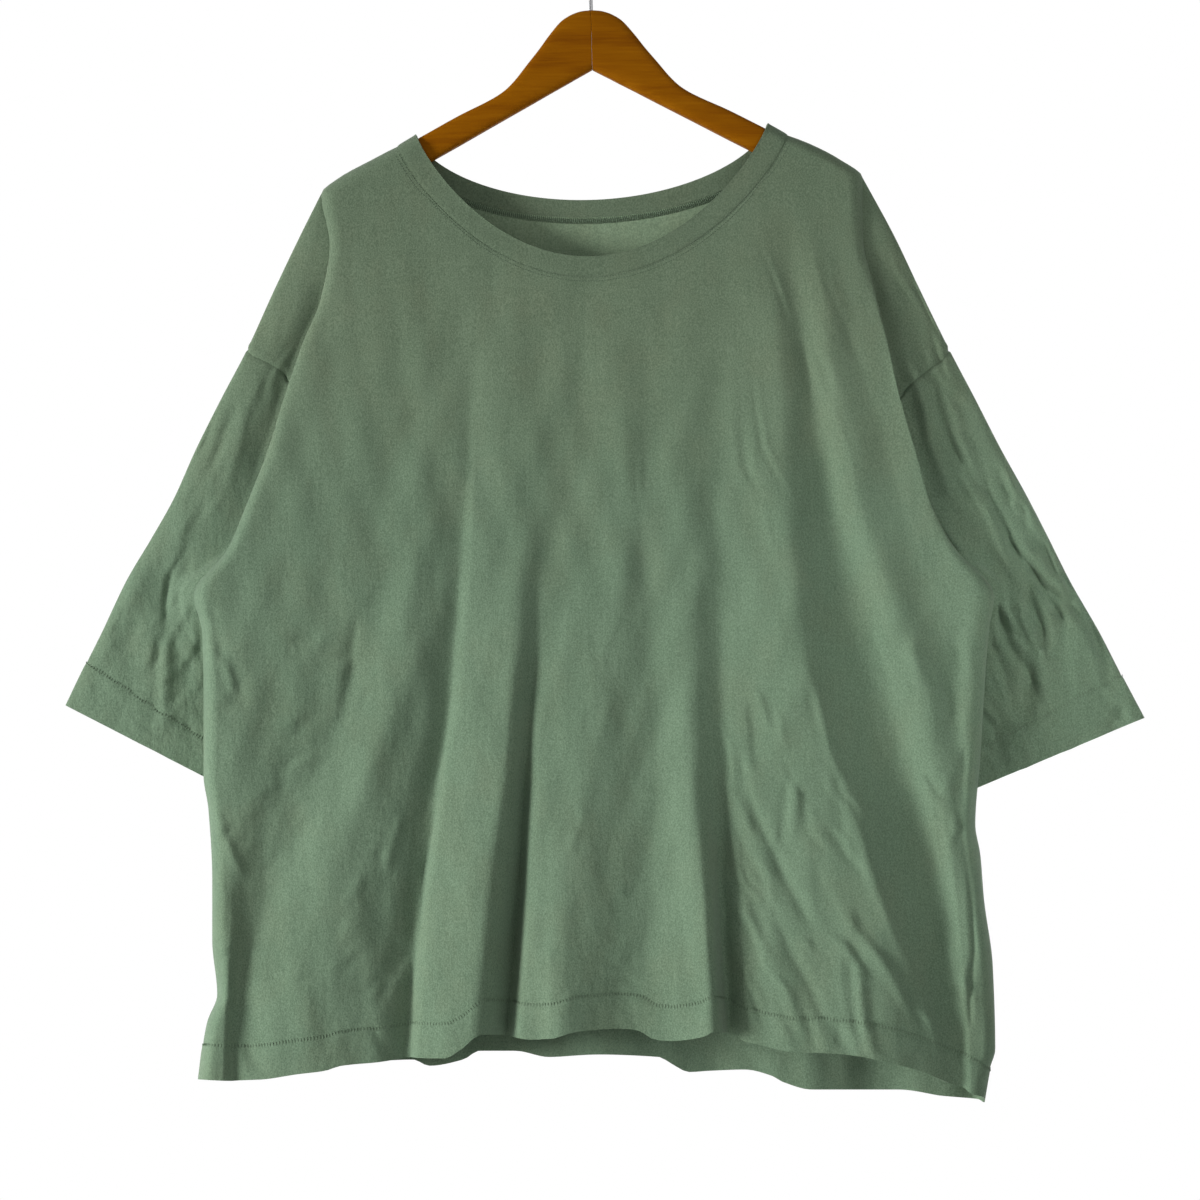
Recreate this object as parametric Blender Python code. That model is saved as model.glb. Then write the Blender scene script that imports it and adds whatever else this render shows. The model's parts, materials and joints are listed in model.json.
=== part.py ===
"""A wide drop-shoulder t-shirt with three-quarter sleeves, hanging on a two-piece wooden hanger.

Sizes are millimetres until MM turns them into metres. x runs to the right of someone who faces the
front, y runs towards the back, and down is measured from the inside top of the hook, which is the
origin. Places on the cloth are given as seen by an eye EYE_DISTANCE in front of the hanger, and
sight_line moves each one along its line of sight to its true depth.
"""

import math

import bmesh
import bpy
import numpy as np

MM = 0.001

# Cloth
WALL = 1.6
BAND_WALL = 2.4
SEAM_GAP = 0.4
HIDDEN_GAP = 3.0
HIDDEN_REACH = 28.0
EYE_DISTANCE = 2000.0
EYE_X = 8.5
EYE_DOWN = 526.4
RIDGE_RADIUS = 9.0

# Hanger
HANGER_TILT = math.radians(1.3)
HEAD_DOWN = 55.0
HALF_THICKNESS = 6.5
JOINT_GAP = 0.3
WIRE_RADIUS = 1.6
HOOK_RADIUS = 17.0
STEM_DEPTH = 17.0
STEM_HOLE_RADIUS = 2.1


def table(columns, rows):
    """The rows of a table as one array for each named column."""
    return dict(zip(columns.split(), np.array(rows, float).T))


# The outline of the body: the shoulder from the neck seam to the hanger's end, the folded edge in
# front of the sleeve down to the armpit, then the side down to the hem. y is the depth of the edge,
# and reach the width over which a panel rounds from it to its full depth.
EDGES = {
    "left": table("down x y reach", [
        (164, -153, 0, 18), (174, -172, 0, 18), (190, -201, 0, 16), (202, -214, 0, 12),
        (242, -207, -5, 9), (285, -214, -9, 8), (322, -229, -11, 8), (366, -244, -12, 8),
        (408, -257, -12, 8), (446, -272, -11, 8), (488, -290, -7, 8), (522, -316, 0, 9),
        (553, -309, 0, 10), (598, -308, 0, 10), (666, -308, 0, 10), (694, -304, 0, 10),
        (750, -301, 0, 10), (798, -301, 0, 10), (842, -297, 0, 10), (864, -305, 0, 10),
        (886, -309, 0, 10), (910, -312, 0, 10),
    ]),
    "right": table("down x y reach", [
        (155, 158, 0, 18), (163, 178, 0, 18), (174, 199, 0, 16), (189, 218, 0, 12),
        (235, 218, -4, 9), (277, 227, -9, 8), (322, 238, -12, 8), (366, 248, -13, 8),
        (407, 260, -13, 8), (446, 271, -12, 8), (486, 292, -8, 8), (523, 323, 0, 9),
        (550, 319, 0, 10), (601, 315, 0, 10), (652, 312, 0, 10), (706, 308, 0, 10),
        (730, 312, 0, 10), (766, 315, 0, 10), (819, 322, 0, 10), (886, 324, 0, 10),
        (900, 320, 0, 10), (928, 315, 0, 10),
    ]),
}
SHOULDER_END_ROW = 3
ARMPIT_ROW = 11

# Between the hanger's end and the armpit the back panel starts in a shallow valley behind the
# folded edge: inward is its distance from that edge and behind its depth past it.
VALLEYS = {
    "left": table("down inward behind", [
        (202, 0, 0), (242, 3, 10), (285, 6, 17), (322, 10, 22), (366, 12, 24),
        (408, 12, 24), (446, 8, 22), (488, 2, 13), (522, 0, 0),
    ]),
    "right": table("down inward behind", [
        (189, 0, 0), (235, 3, 9), (277, 6, 17), (322, 10, 23), (366, 12, 25),
        (407, 12, 25), (446, 8, 23), (486, 2, 14), (523, 0, 0),
    ]),
}

# The sleeve from the hanger's end, row 0, past the armpit, row 8, to the cuff. outer is its top
# ridge, inner_down the height of its inner line, soft_x a calmer inner line that the middle of the
# cloth follows, tucked the width hidden behind the body's edge; the y columns are depths from the
# tucked valley round the front to the back layer.
SLEEVES = {
    "left": table("outer_x outer_down inner_down soft_x tucked valley_y gap_y mid_y outer_y back_y", [
        (-214, 202, 202, -214, 0, 0, 0, 0, 0, 0),
        (-232, 238, 242, -207, 3, -4, -4, -4, 0, 8),
        (-252, 280, 285, -214, 11, -2, 0, -2, 2, 10),
        (-273, 326, 322, -229, 21, 0, 4, 0, 5, 14),
        (-294, 366, 366, -244, 27, 0, 6, 2, 8, 17),
        (-314, 406, 408, -257, 27, 1, 7, 3, 10, 20),
        (-332, 446, 446, -270, 20, 0, 6, 4, 12, 22),
        (-350, 478, 488, -290, 8, 0, 6, 6, 14, 24),
        (-369, 510, 522, -318, 0, 4, 8, 8, 15, 26),
        (-390, 554, 581, -296, 0, 14, 13, 11, 18, 30),
        (-406, 586, 642, -266, 0, 16, 15, 13, 20, 34),
        (-418, 611, 706, -234, 0, 17, 16, 14, 22, 36),
    ]),
    "right": table("outer_x outer_down inner_down soft_x tucked valley_y gap_y mid_y outer_y back_y", [
        (218, 189, 189, 218, 0, 0, 0, 0, 0, 0),
        (243, 235, 235, 218, 4, -4, -4, -4, 0, 8),
        (263, 277, 277, 227, 13, -2, 1, -1, 2, 10),
        (287, 326, 322, 238, 22, 0, 5, 1, 5, 14),
        (308, 366, 366, 248, 28, 1, 7, 2, 8, 17),
        (328, 405, 407, 260, 28, 1, 8, 3, 10, 20),
        (349, 443, 446, 272, 20, 0, 7, 4, 12, 22),
        (367, 478, 486, 292, 8, 0, 6, 6, 14, 24),
        (384, 512, 523, 324, 0, 4, 8, 8, 15, 26),
        (407, 552, 581, 304, 0, 14, 13, 11, 18, 30),
        (426, 589, 642, 275, 0, 16, 15, 13, 20, 34),
        (443, 621, 706, 240, 0, 17, 16, 14, 22, 36),
    ]),
}
SEAM_ROW = 3
SLEEVE_ARMPIT_ROW = 8
SLEEVE_ROWS = 12
UNDERARMS = {
    "left": table("down x y", [
        (522, -316, 0), (530, -316.5, 7), (540, -313, 13), (558, -307, 18), (585, -290, 20),
        (642, -262, 24), (706, -234, 26),
    ]),
    "right": table("down x y", [
        (523, 323, 0), (531, 323.5, 7), (541, 321, 13), (559, 316, 18), (586, 298, 20),
        (642, 271, 24), (706, 240, 26),
    ]),
}
ARMHOLE_CURVE = 1.8

# Where an armhole seam runs out of sight its gap opens a little: at the armpits, where four pieces
# meet, and at the turn of the tucked fold. Each place is x, y and down.
HIDDEN_SEAMS = [(-316, 0, 522), (-247, 0, 438), (323, 0, 523), (256, 0, 430), (302, -4, 496)]

# One section of a sleeve: around is the place from the inner line round the front, the top ridge
# at 0.5 and the back; above and below say how far in it lies from the ridge (0) to the inner line
# (1), above the armpit and below it; tuck is its share of the hidden width; and its depth is a mix
# of two of the depth columns.
SECTION = [
    ("around", "above", "tuck", "below", "first", "second", "mix"),
    (0.00, 1.00, 0.00, 1.000, "edge_y", "edge_y", 0.0),
    (0.03, 1.00, 0.05, 0.985, "edge_y", "valley_y", 0.25),
    (0.07, 1.00, 0.50, 0.950, "edge_y", "valley_y", 0.5),
    (0.14, 1.00, 1.00, 0.870, "valley_y", "valley_y", 0.0),
    (0.21, 1.00, 0.50, 0.780, "valley_y", "gap_y", 0.85),
    (0.28, 0.93, 0.00, 0.680, "gap_y", "gap_y", 0.0),
    (0.38, 0.50, 0.00, 0.420, "mid_y", "mid_y", 0.0),
    (0.46, 0.10, 0.00, 0.100, "mid_y", "outer_y", 0.45),
    (0.50, 0.00, 0.00, 0.000, "outer_y", "outer_y", 0.0),
    (0.54, 0.10, 0.00, 0.100, "outer_y", "back_y", 0.55),
    (0.62, 0.45, 0.00, 0.420, "back_y", "back_y", 0.0),
    (0.72, 0.80, 0.00, 0.700, "back_y", "back_y", 0.0),
    (0.86, 0.95, 0.00, 0.900, "back_y", "back_edge_y", 0.5),
    (0.95, 1.00, 0.00, 0.975, "back_y", "back_edge_y", 0.88),
    (1.00, 1.00, 0.00, 1.000, "back_edge_y", "back_edge_y", 0.0),
]

# The hanging folds of each panel, from the left: where each line lies at five heights, and how far
# it stands out from the panel's mean depth there.
FOLD_DOWNS = (318, 446, 606, 766, 886)
FOLDS = {
    "front": [
        ("side roll", (-214, -257, -291, -288, -294), (0, 0, 0, 1, 2)),
        ("left trough", (-148, -158, -197, -261, -283), (0, -1, -5, -8, -9)),
        ("left rise", (-128, -132, -158, -209, -232), (0, 1, 2, 2, 2)),
        ("first fold", (-97, -104, -120, -141, -152), (0, -2, -7, -13, -13)),
        ("first lip", (-88, -94, -108, -132, -140), (0, -0.5, -2, -4, -4)),
        ("second rise", (-68, -70, -72, -89, -97), (0, 1.5, 4, 6, 6)),
        ("second fold", (-55, -56, -53, -63, -67), (0, -1, -10, -20, -24)),
        ("second lip", (-48, -50, -47, -56, -57), (0, 0.5, -1, -3, -4)),
        ("middle rise", (8, 12, 7, -6, -10), (0, 2, 3, 5, 6)),
        ("middle trough", (50, 46, 50, 47, 40), (0, -1.5, -3, -6, -8)),
        ("third rise", (82, 80, 82, 92, 99), (0, 2, 5, 9, 10)),
        ("third fold", (92, 92, 95, 111, 119), (-0.5, -2, -9, -20, -26)),
        ("third lip", (101, 101, 100, 117, 126), (0, 0, -2, -4, -6)),
        ("right rise", (148, 156, 173, 223, 231), (1, 5, 8, 8, 7)),
        ("right trough", (170, 188, 226, 276, 292), (-3, -8, -12, -13, -13)),
        ("outer rise", (192, 218, 268, 295, 306), (1, 2, 1, 0, 0)),
        ("outer trough", (215, 251, 295, 304, 315), (-3, -5, -6, -2, -1)),
    ],
    "back": [
        ("left roll", (-212, -252, -286, -280, -292), (0, -1, -6, -2, 0)),
        ("left trough", (-168, -192, -232, -244, -252), (0, -2, -6, -5, -6)),
        ("left rise", (-128, -152, -184, -192, -200), (0, 1, 2, 5, 7)),
        ("second trough", (-88, -96, -112, -128, -136), (0, -2, -3, -5, -6)),
        ("second rise", (-48, -48, -56, -56, -64), (0, 2, 3, 6, 8)),
        ("middle trough", (0, 0, 0, -4, 0), (0, -1, -3, -6, -7)),
        ("third rise", (48, 56, 72, 88, 108), (0, 2, 4, 7, 9)),
        ("third trough", (96, 112, 136, 160, 176), (0, -2, -4, -5, -5)),
        ("right rise", (136, 160, 192, 224, 232), (0, 1, 1, 4, 6)),
        ("right trough", (176, 208, 248, 272, 280), (0, -2, -6, -3, -3)),
        ("right roll", (220, 252, 292, 300, 311), (0, -1, -6, -1, 0)),
    ],
}
FOLDS_BEGIN = 200
FOLDS_FREE = (230, 400)
MEAN_DEPTH = {
    "front": table("down out", [(155, 9), (260, 13), (420, 17), (620, 21), (920, 25)]),
    "back": table("down out", [(155, 9), (260, 12), (420, 13), (620, 15), (920, 18)]),
}
SIDE_OF_PANEL = {"front": -1, "back": 1}

HEMS = {
    "front": table("x down", [
        (-312, 910), (-289, 911), (-264, 910), (-236, 906), (-212, 903), (-199, 899), (-180, 897),
        (-143, 892), (-116, 893), (-104, 887), (-88, 874), (-71, 874), (-46, 878), (-28, 877),
        (-5, 871), (28, 869), (40, 871), (53, 878), (65, 879), (91, 876), (99, 872), (117, 873),
        (122, 878), (136, 882), (164, 888), (193, 889), (226, 893), (261, 902), (294, 915),
        (315, 928),
    ]),
    "back": table("x down", [
        (-312, 910), (-288, 907), (-232, 901), (-178, 896), (-141, 894), (-128, 899), (-101, 894),
        (-88, 887), (-60, 887), (-32, 892), (9, 890), (56, 892), (65, 897), (80, 904), (96, 903),
        (124, 902), (146, 907), (155, 912), (178, 918), (216, 918), (247, 918), (282, 923),
        (315, 928),
    ]),
}

# The neck: the seam that joins the binding to the panels, and the binding's own free edge. Each
# curve drops from the line between its two ends, and bow shapes how it drops.
NECK = {
    ("front", "seam"): dict(left=(-153, 164), right=(158, 155), drop=107.5, bow=0.83),
    ("front", "edge"): dict(left=(-138, 155), right=(142, 146), drop=101, bow=0.83),
    ("back", "seam"): dict(left=(-153, 164), right=(158, 155), drop=61, bow=0.62),
    ("back", "edge"): dict(left=(-138, 155), right=(142, 146), drop=56, bow=0.62),
}

# One wooden half from the joint to its end: out from the joint, top and bottom below the head's
# top, and how full its thickness is.
ARM = table("out top bottom full", [
    (0, 0, 47.4, 1), (7, 0.6, 51.2, 1), (13.6, 2.4, 54.7, 1), (19, 5, 57.7, 1),
    (24, 8.4, 60.4, 1), (33.6, 19.2, 65.5, 1), (42.4, 30.8, 70.3, 1), (51.6, 42, 75.3, 1),
    (62.4, 55.2, 81.1, 1), (70, 62.5, 85.2, 1), (80, 68.9, 90.6, 1), (106.4, 81.5, 105, 1),
    (132, 95, 118.7, 1), (165, 112.7, 136.5, 1), (192, 127.2, 150, 1), (200, 132.5, 152, 0.95),
    (205, 137, 151, 0.75), (208, 141, 148, 0.4),
])
ARM_SIDES = 14
ARM_SQUARENESS = 4.0

# How finely the pieces are divided
RIDGE_STEPS = 2
FOLDED_STEPS = 8
SIDE_STEPS = 11
EDGE_SHARES = (0, 0.06, 0.2, 0.45, 1)
SLEEVE_STEPS = 10
AROUND = (
    0, 0.015, 0.03, 0.05, 0.07, 0.09, 0.105, 0.1225, 0.14, 0.1575, 0.175, 0.21, 0.28, 0.38,
    0.455, 0.48, 0.5,
    0.52, 0.545, 0.62, 0.72, 0.81, 0.88, 0.94, 0.98, 1,
)
WIDE_FOLD_GAP = 26
BAND_STEPS = 2
NECK_SAMPLES = 161

SAGE = (0.155, 0.205, 0.148, 1)
SAGE_BAND = (0.13, 0.175, 0.125, 1)
WOOD = (0.24, 0.085, 0.006, 1)
STEEL = (0.6, 0.6, 0.62, 1)


def ramp(value, low, high):
    """0 below low, 1 above high, and a smooth rise between them."""
    share = np.clip((np.asarray(value, float) - low) / (high - low), 0, 1)
    return share * share * (3 - 2 * share)


def smooth(at, knots, values):
    """A curve through values at the knots, read at each place in at, with no overshoot.

    The first axis of knots and values runs along the curve. Any further axes match those of at, so
    that each place can have a curve of its own.
    """
    at = np.asarray(at, float)
    knots = np.asarray(knots, float)
    values = np.asarray(values, float)
    knots = knots.reshape(knots.shape + (1,) * (1 + at.ndim - knots.ndim))
    values = values.reshape(values.shape + (1,) * (1 + at.ndim - values.ndim))
    shape = (len(knots),) + np.broadcast_shapes(at.shape, knots.shape[1:], values.shape[1:])
    at = np.broadcast_to(at, shape[1:])
    knots = np.broadcast_to(knots, shape)
    values = np.broadcast_to(values, shape)
    steps = np.diff(knots, axis=0)
    slopes = np.diff(values, axis=0) / steps
    before, after = slopes[:-1], slopes[1:]
    agree = before * after > 0
    inner = np.where(agree, 2 * before * after / np.where(agree, before + after, 1), 0)
    slopes = np.concatenate([slopes[:1], inner, slopes[-1:]])
    index = np.clip((at >= knots[1:-1]).sum(axis=0), 0, len(knots) - 2)[None]

    def pick(array, offset=0):
        return np.take_along_axis(array, index + offset, axis=0)[0]

    step = pick(steps)
    share = np.clip((at - pick(knots)) / step, 0, 1)
    start, end = pick(values), pick(values, 1)
    turn = 3 * share**2 - 2 * share**3
    lift = share * (1 - share) ** 2 * pick(slopes) - share**2 * (1 - share) * pick(slopes, 1)
    return start + (end - start) * turn + step * lift


def mix(first, second, share):
    return first + (second - first) * share


def rounded(distance, reach):
    """0 at an edge and 1 at reach, along a quarter circle."""
    share = np.clip(distance / reach, 0, 1)
    return np.sqrt(1 - (1 - share) ** 2)


def edge_of(side, down, back=False):
    """x, depth and rounding reach of a panel's edge at each height."""
    edge, valley = EDGES[side], VALLEYS[side]
    x = smooth(down, edge["down"], edge["x"])
    y = smooth(down, edge["down"], edge["y"])
    reach = smooth(down, edge["down"], edge["reach"])
    if back:
        inward = 1 if side == "left" else -1
        x = x + inward * smooth(down, valley["down"], valley["inward"])
        y = y + smooth(down, valley["down"], valley["behind"])
    return x, y, reach


def fold_lines(panel, down):
    """x and stand-out of every fold line at each height, with the two edges first and last."""
    places = np.array([row[1] for row in FOLDS[panel]], float)
    outs = np.array([row[2] for row in FOLDS[panel]], float)
    back = panel == "back"
    left, right = edge_of("left", down, back)[0], edge_of("right", down, back)[0]
    first = float(FOLD_DOWNS[0])
    first_left = edge_of("left", first, back)[0]
    first_right = edge_of("right", first, back)[0]
    free = ramp(down, *FOLDS_FREE)
    begun = ramp(down, FOLDS_BEGIN, first)
    lines, stands = [left], []
    for place, out in zip(places, outs):
        share = (place[0] - first_left) / (first_right - first_left)
        lines.append(mix(left + share * (right - left), smooth(down, FOLD_DOWNS, place), free))
        stands.append(smooth(down, FOLD_DOWNS, out) * begun)
    return np.array(lines + [right]), np.array([stands[0]] + stands + [stands[-1]])


def panel_at(panel, across, down):
    """Points of a panel, across from 0 at its left edge to 1 at its right edge."""
    back = panel == "back"
    lines, stands = fold_lines(panel, down)
    knots = np.linspace(0, 1, len(lines))
    x = smooth(across, knots, lines)
    mean = smooth(down, MEAN_DEPTH[panel]["down"], MEAN_DEPTH[panel]["out"])
    full = SIDE_OF_PANEL[panel] * (mean + smooth(across, knots, stands))
    left_x, left_y, left_reach = edge_of("left", down, back)
    right_x, right_y, right_reach = edge_of("right", down, back)
    left_share = rounded(x - left_x, left_reach)
    right_share = rounded(right_x - x, right_reach)
    y = full + (left_y - full) * (1 - left_share) + (right_y - full) * (1 - right_share)
    return np.stack([x, y, np.broadcast_to(down, x.shape)], axis=-1)


def across_at(panel, x, down):
    """How far across a panel the place x lies at each height."""
    low, high = np.zeros_like(x), np.ones_like(x)
    for _ in range(40):
        middle = (low + high) / 2
        right_of = panel_at(panel, middle, down)[..., 0] > x
        low, high = np.where(right_of, low, middle), np.where(right_of, middle, high)
    return (low + high) / 2


def neck_curve(panel, line, share):
    """x, down and the drop below the ends' line, with share from -1 at the left to 1 at the right."""
    curve = NECK[panel, line]
    along = (share + 1) / 2
    x = mix(curve["left"][0], curve["right"][0], along)
    drop = curve["drop"] * (1 - share**2) ** curve["bow"]
    return x, mix(curve["left"][1], curve["right"][1], along) + drop, drop


def neck_shares(panel, columns):
    """The place of each column along the neck curves, from -1 at the left to 1 at the right."""
    share = -np.cos(np.linspace(0, math.pi, NECK_SAMPLES))
    x, down, _ = neck_curve(panel, "seam", share)
    across = across_at(panel, x, down)
    across[0], across[-1] = 0, 1
    return np.interp(columns, across, share)


def hem_downs(panel, columns):
    """Height of the hem at each column."""
    across = across_at(panel, HEMS[panel]["x"], HEMS[panel]["down"])
    across[0], across[-1] = 0, 1
    return smooth(columns, across, HEMS[panel]["down"])


def inner_down(side, along):
    """Height of the sleeve's inner line, along from 0 at the hanger's end to 1 at the cuff."""
    rows = np.arange(SLEEVE_ROWS) / (SLEEVE_ROWS - 1)
    upper = slice(0, SLEEVE_ARMPIT_ROW + 1)
    lower = slice(SLEEVE_ARMPIT_ROW, SLEEVE_ROWS)
    downs = SLEEVES[side]["inner_down"]
    above = smooth(along, rows[upper], downs[upper])
    below = smooth(along, rows[lower], downs[lower])
    return np.where(along <= rows[SLEEVE_ARMPIT_ROW], above, below)


def sleeve_at(side, around, along):
    """Points of the cloth between the two panels' edges: the drop shoulder and the sleeve."""
    around, along = np.broadcast_arrays(np.asarray(around, float), np.asarray(along, float))
    rows = np.arange(SLEEVE_ROWS) / (SLEEVE_ROWS - 1)
    armpit = rows[SLEEVE_ARMPIT_ROW]
    value = {name: smooth(along, rows, column) for name, column in SLEEVES[side].items()}
    inward = 1 if side == "left" else -1
    down = inner_down(side, along)
    upper = along <= armpit
    under_x = smooth(down, UNDERARMS[side]["down"], UNDERARMS[side]["x"])
    under_y = smooth(down, UNDERARMS[side]["down"], UNDERARMS[side]["y"])
    front_x, front_y, _ = edge_of(side, down)
    back_x, back_y, _ = edge_of(side, down, back=True)
    value["edge_y"] = np.where(upper, front_y, under_y)
    value["back_edge_y"] = np.where(upper, back_y, under_y)
    inner_x = np.where(upper, np.where(around < 0.5, front_x, back_x), under_x)
    opened = ramp(along, rows[SLEEVE_ARMPIT_ROW - 2], armpit)
    knots = [row[0] for row in SECTION[1:]]
    shares, tucks, depths = [], [], []
    for _, above, tuck, below, first, second, part in SECTION[1:]:
        shares.append(mix(above, below, opened))
        tucks.append(tuck * value["tucked"])
        depths.append(mix(value[first], value[second], part))
    share = smooth(around, knots, np.array(shares))
    tucked = smooth(around, knots, np.array(tucks))
    y = smooth(around, knots, np.array(depths))
    tight = share**4
    line_x = mix(value["soft_x"], inner_x, tight)
    x = mix(value["outer_x"], line_x, share) + inward * tucked
    return np.stack([x, y, mix(value["outer_down"], down, share)], axis=-1)


def armhole(around):
    """How far along the sleeve the armhole seam lies at each place around it."""
    top = SEAM_ROW / (SLEEVE_ROWS - 1)
    bottom = SLEEVE_ARMPIT_ROW / (SLEEVE_ROWS - 1)
    return mix(top, bottom, np.abs(2 * np.asarray(around) - 1) ** ARMHOLE_CURVE)


def row_downs(side):
    """Heights of a panel's rows at one edge."""
    downs = EDGES[side]["down"]
    armpit = SLEEVE_ARMPIT_ROW / (SLEEVE_ROWS - 1)
    ridge = np.linspace(downs[0], downs[SHOULDER_END_ROW], RIDGE_STEPS + 1)
    folded = inner_down(side, np.linspace(0, armpit, FOLDED_STEPS + 1))
    lower = np.linspace(downs[ARMPIT_ROW], downs[-1], SIDE_STEPS + 1)
    return np.concatenate([ridge[:-1], folded[:-1], lower])


def columns_of(panel):
    """Shares across a panel: one column on each fold line, more in wide gaps and at the edges."""
    lines, _ = fold_lines(panel, np.array(FOLD_DOWNS, float))
    knots = np.linspace(0, 1, len(lines))
    gaps = np.diff(lines, axis=0).max(axis=1)
    columns = [knots[1] * share for share in EDGE_SHARES[:-1]]
    for start, end, gap in zip(knots[1:-2], knots[2:-1], gaps[1:-1]):
        columns.extend(np.linspace(start, end, 1 + math.ceil(gap / WIDE_FOLD_GAP))[:-1])
    columns.extend(1 - knots[1] * share for share in EDGE_SHARES[::-1])
    return np.array(columns)


def panel_grid(panel):
    """A panel from neck seam to hem between its two edges, rows by columns."""
    columns = columns_of(panel)
    top = neck_curve(panel, "seam", neck_shares(panel, columns))[1]
    low = hem_downs(panel, columns)
    shares = {}
    for side in ("left", "right"):
        downs = row_downs(side)
        shares[side] = (downs - downs[0]) / (downs[-1] - downs[0])
    share = mix(shares["left"][:, None], shares["right"][:, None], columns[None])
    down = mix(top[None], low[None], share)
    return panel_at(panel, np.broadcast_to(columns, down.shape), down)


def shoulder_grid(side, panel):
    """The drop shoulder between a panel's edge and the armhole seam, from the hanger's end out."""
    around = np.array([place for place in AROUND if place <= 0.5])
    if panel == "back":
        around = np.array([place for place in AROUND if place >= 0.5])
    steps = np.linspace(0, 1, FOLDED_STEPS + 1)
    return sleeve_at(side, around[None], steps[:, None] * armhole(around)[None])


def sleeve_grid(side):
    """The sleeve as a closed tube from the armhole seam to the cuff."""
    around = np.array(AROUND)
    steps = np.linspace(0, 1, SLEEVE_STEPS + 1)
    return sleeve_at(side, around[None], mix(armhole(around)[None], 1.0, steps[:, None]))


def band_grid(panel):
    """One half of the neck binding, from the panel's top row to the free edge."""
    seam = panel_grid(panel)[0]
    x, down, drop = neck_curve(panel, "edge", neck_shares(panel, columns_of(panel)))
    mean = smooth(down, MEAN_DEPTH[panel]["down"], MEAN_DEPTH[panel]["out"])
    y = SIDE_OF_PANEL[panel] * mean * rounded(drop, RIDGE_RADIUS)
    steps = np.linspace(0, 1, BAND_STEPS + 1)[:, None, None]
    return mix(seam[None], np.stack([x, y, down], axis=-1)[None], steps)


def upright(points):
    """x, y and down as x, y and up."""
    return points * np.array([1.0, 1.0, -1.0])


def sight_line(points):
    """Moves places seen in the hanger's plane along their lines of sight to their own depth."""
    scale = 1 + points[..., 1] / EYE_DISTANCE
    x = EYE_X + (points[..., 0] - EYE_X) * scale
    down = EYE_DOWN + (points[..., 2] - EYE_DOWN) * scale
    return np.stack([x, points[..., 1], down], axis=-1)


class Cloth:
    """Thin cloth pieces that share the points of their seams, so that their walls line up."""

    def __init__(self):
        self.index = {}
        self.points = []
        self.pieces = {}
        self.hidden = upright(sight_line(np.array(HIDDEN_SEAMS, float)))

    def point(self, place):
        key = tuple(int(round(value * 1000)) for value in place)
        if key not in self.index:
            self.index[key] = len(self.points)
            self.points.append(np.array(place))
        return self.index[key]

    def add(self, name, grid, turned=False):
        """Adds a grid of points to a piece. Its outer side faces away from rows x columns."""
        placed = upright(sight_line(grid))
        ids = [[self.point(place) for place in row] for row in placed]
        faces = self.pieces.setdefault(name, [])
        for upper, lower in zip(ids[:-1], ids[1:]):
            for i in range(len(upper) - 1):
                corners = [upper[i], lower[i], lower[i + 1], upper[i + 1]]
                face = [a for a, b in zip(corners, corners[1:] + corners[:1]) if a != b]
                for part in self.split(face):
                    faces.append(part[::-1] if turned else part)

    def normals(self):
        total = np.zeros((len(self.points), 3))
        for faces in self.pieces.values():
            for face in faces:
                total[face] += self.face_normal(face)
        return total / np.maximum(np.linalg.norm(total, axis=1, keepdims=True), 1e-9)

    def split(self, face):
        """A four-sided face as two triangles along its shorter diagonal."""
        if len(face) < 4:
            return [face] if len(face) == 3 else []
        a, b, c, d = face
        across = np.linalg.norm(self.points[a] - self.points[c])
        if across <= np.linalg.norm(self.points[b] - self.points[d]):
            return [[a, b, c], [a, c, d]]
        return [[a, b, d], [b, c, d]]

    def face_normal(self, face):
        a, b, c = (self.points[i] for i in face)
        return np.cross(b - a, c - a)

    def seam_gap(self, place):
        """The gap at a seam, wider near the places where it is out of sight."""
        nearest = min(math.dist(place, hidden) for hidden in self.hidden)
        return mix(HIDDEN_GAP, SEAM_GAP, float(ramp(nearest, 0, HIDDEN_REACH)))

    def wall(self, name, thickness, normals):
        """Points and faces of a piece as a closed wall, drawn back by half the seam gap."""
        faces = self.pieces[name]
        edges = {(a, b) for face in faces for a, b in zip(face, face[1:] + face[:1])}
        rim = [(a, b) for a, b in edges if (b, a) not in edges]
        facing = {}
        for face in faces:
            for a, b in zip(face, face[1:] + face[:1]):
                facing[a, b] = self.face_normal(face)
        inward = {}
        for a, b in rim:
            step = np.cross(facing[a, b], self.points[b] - self.points[a])
            step = step / np.linalg.norm(step)
            inward[a] = inward.get(a, 0) + step
            inward[b] = inward.get(b, 0) + step
        used = sorted({i for face in faces for i in face})
        order = {old: new for new, old in enumerate(used)}
        middle = np.array([self.points[i] for i in used])
        for i, step in inward.items():
            gap = self.seam_gap(self.points[i])
            middle[order[i]] += step / max(np.linalg.norm(step), 1e-6) * gap / 2
        out = normals[used] * thickness / 2
        count = len(used)
        shell = [[order[i] for i in face] for face in faces]
        shell += [[order[i] + count for i in face[::-1]] for face in faces]
        shell += [[order[b], order[a], order[a] + count, order[b] + count] for a, b in rim]
        return np.concatenate([middle + out, middle - out]), shell


def material(name, colour, roughness, metallic=0.0):
    made = bpy.data.materials.new(name)
    made.use_nodes = True
    surface = made.node_tree.nodes["Principled BSDF"]
    surface.inputs["Base Color"].default_value = colour
    surface.inputs["Roughness"].default_value = roughness
    surface.inputs["Metallic"].default_value = metallic
    return made


def mesh_object(name, points, faces, finish):
    mesh = bpy.data.meshes.new(name)
    mesh.from_pydata((points * MM).tolist(), [], faces)
    mesh.validate()
    mesh.materials.append(finish)
    mesh.shade_smooth()
    mesh.set_sharp_from_angle(angle=math.radians(50))
    made = bpy.data.objects.new(name, mesh)
    bpy.context.collection.objects.link(made)
    return made


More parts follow.
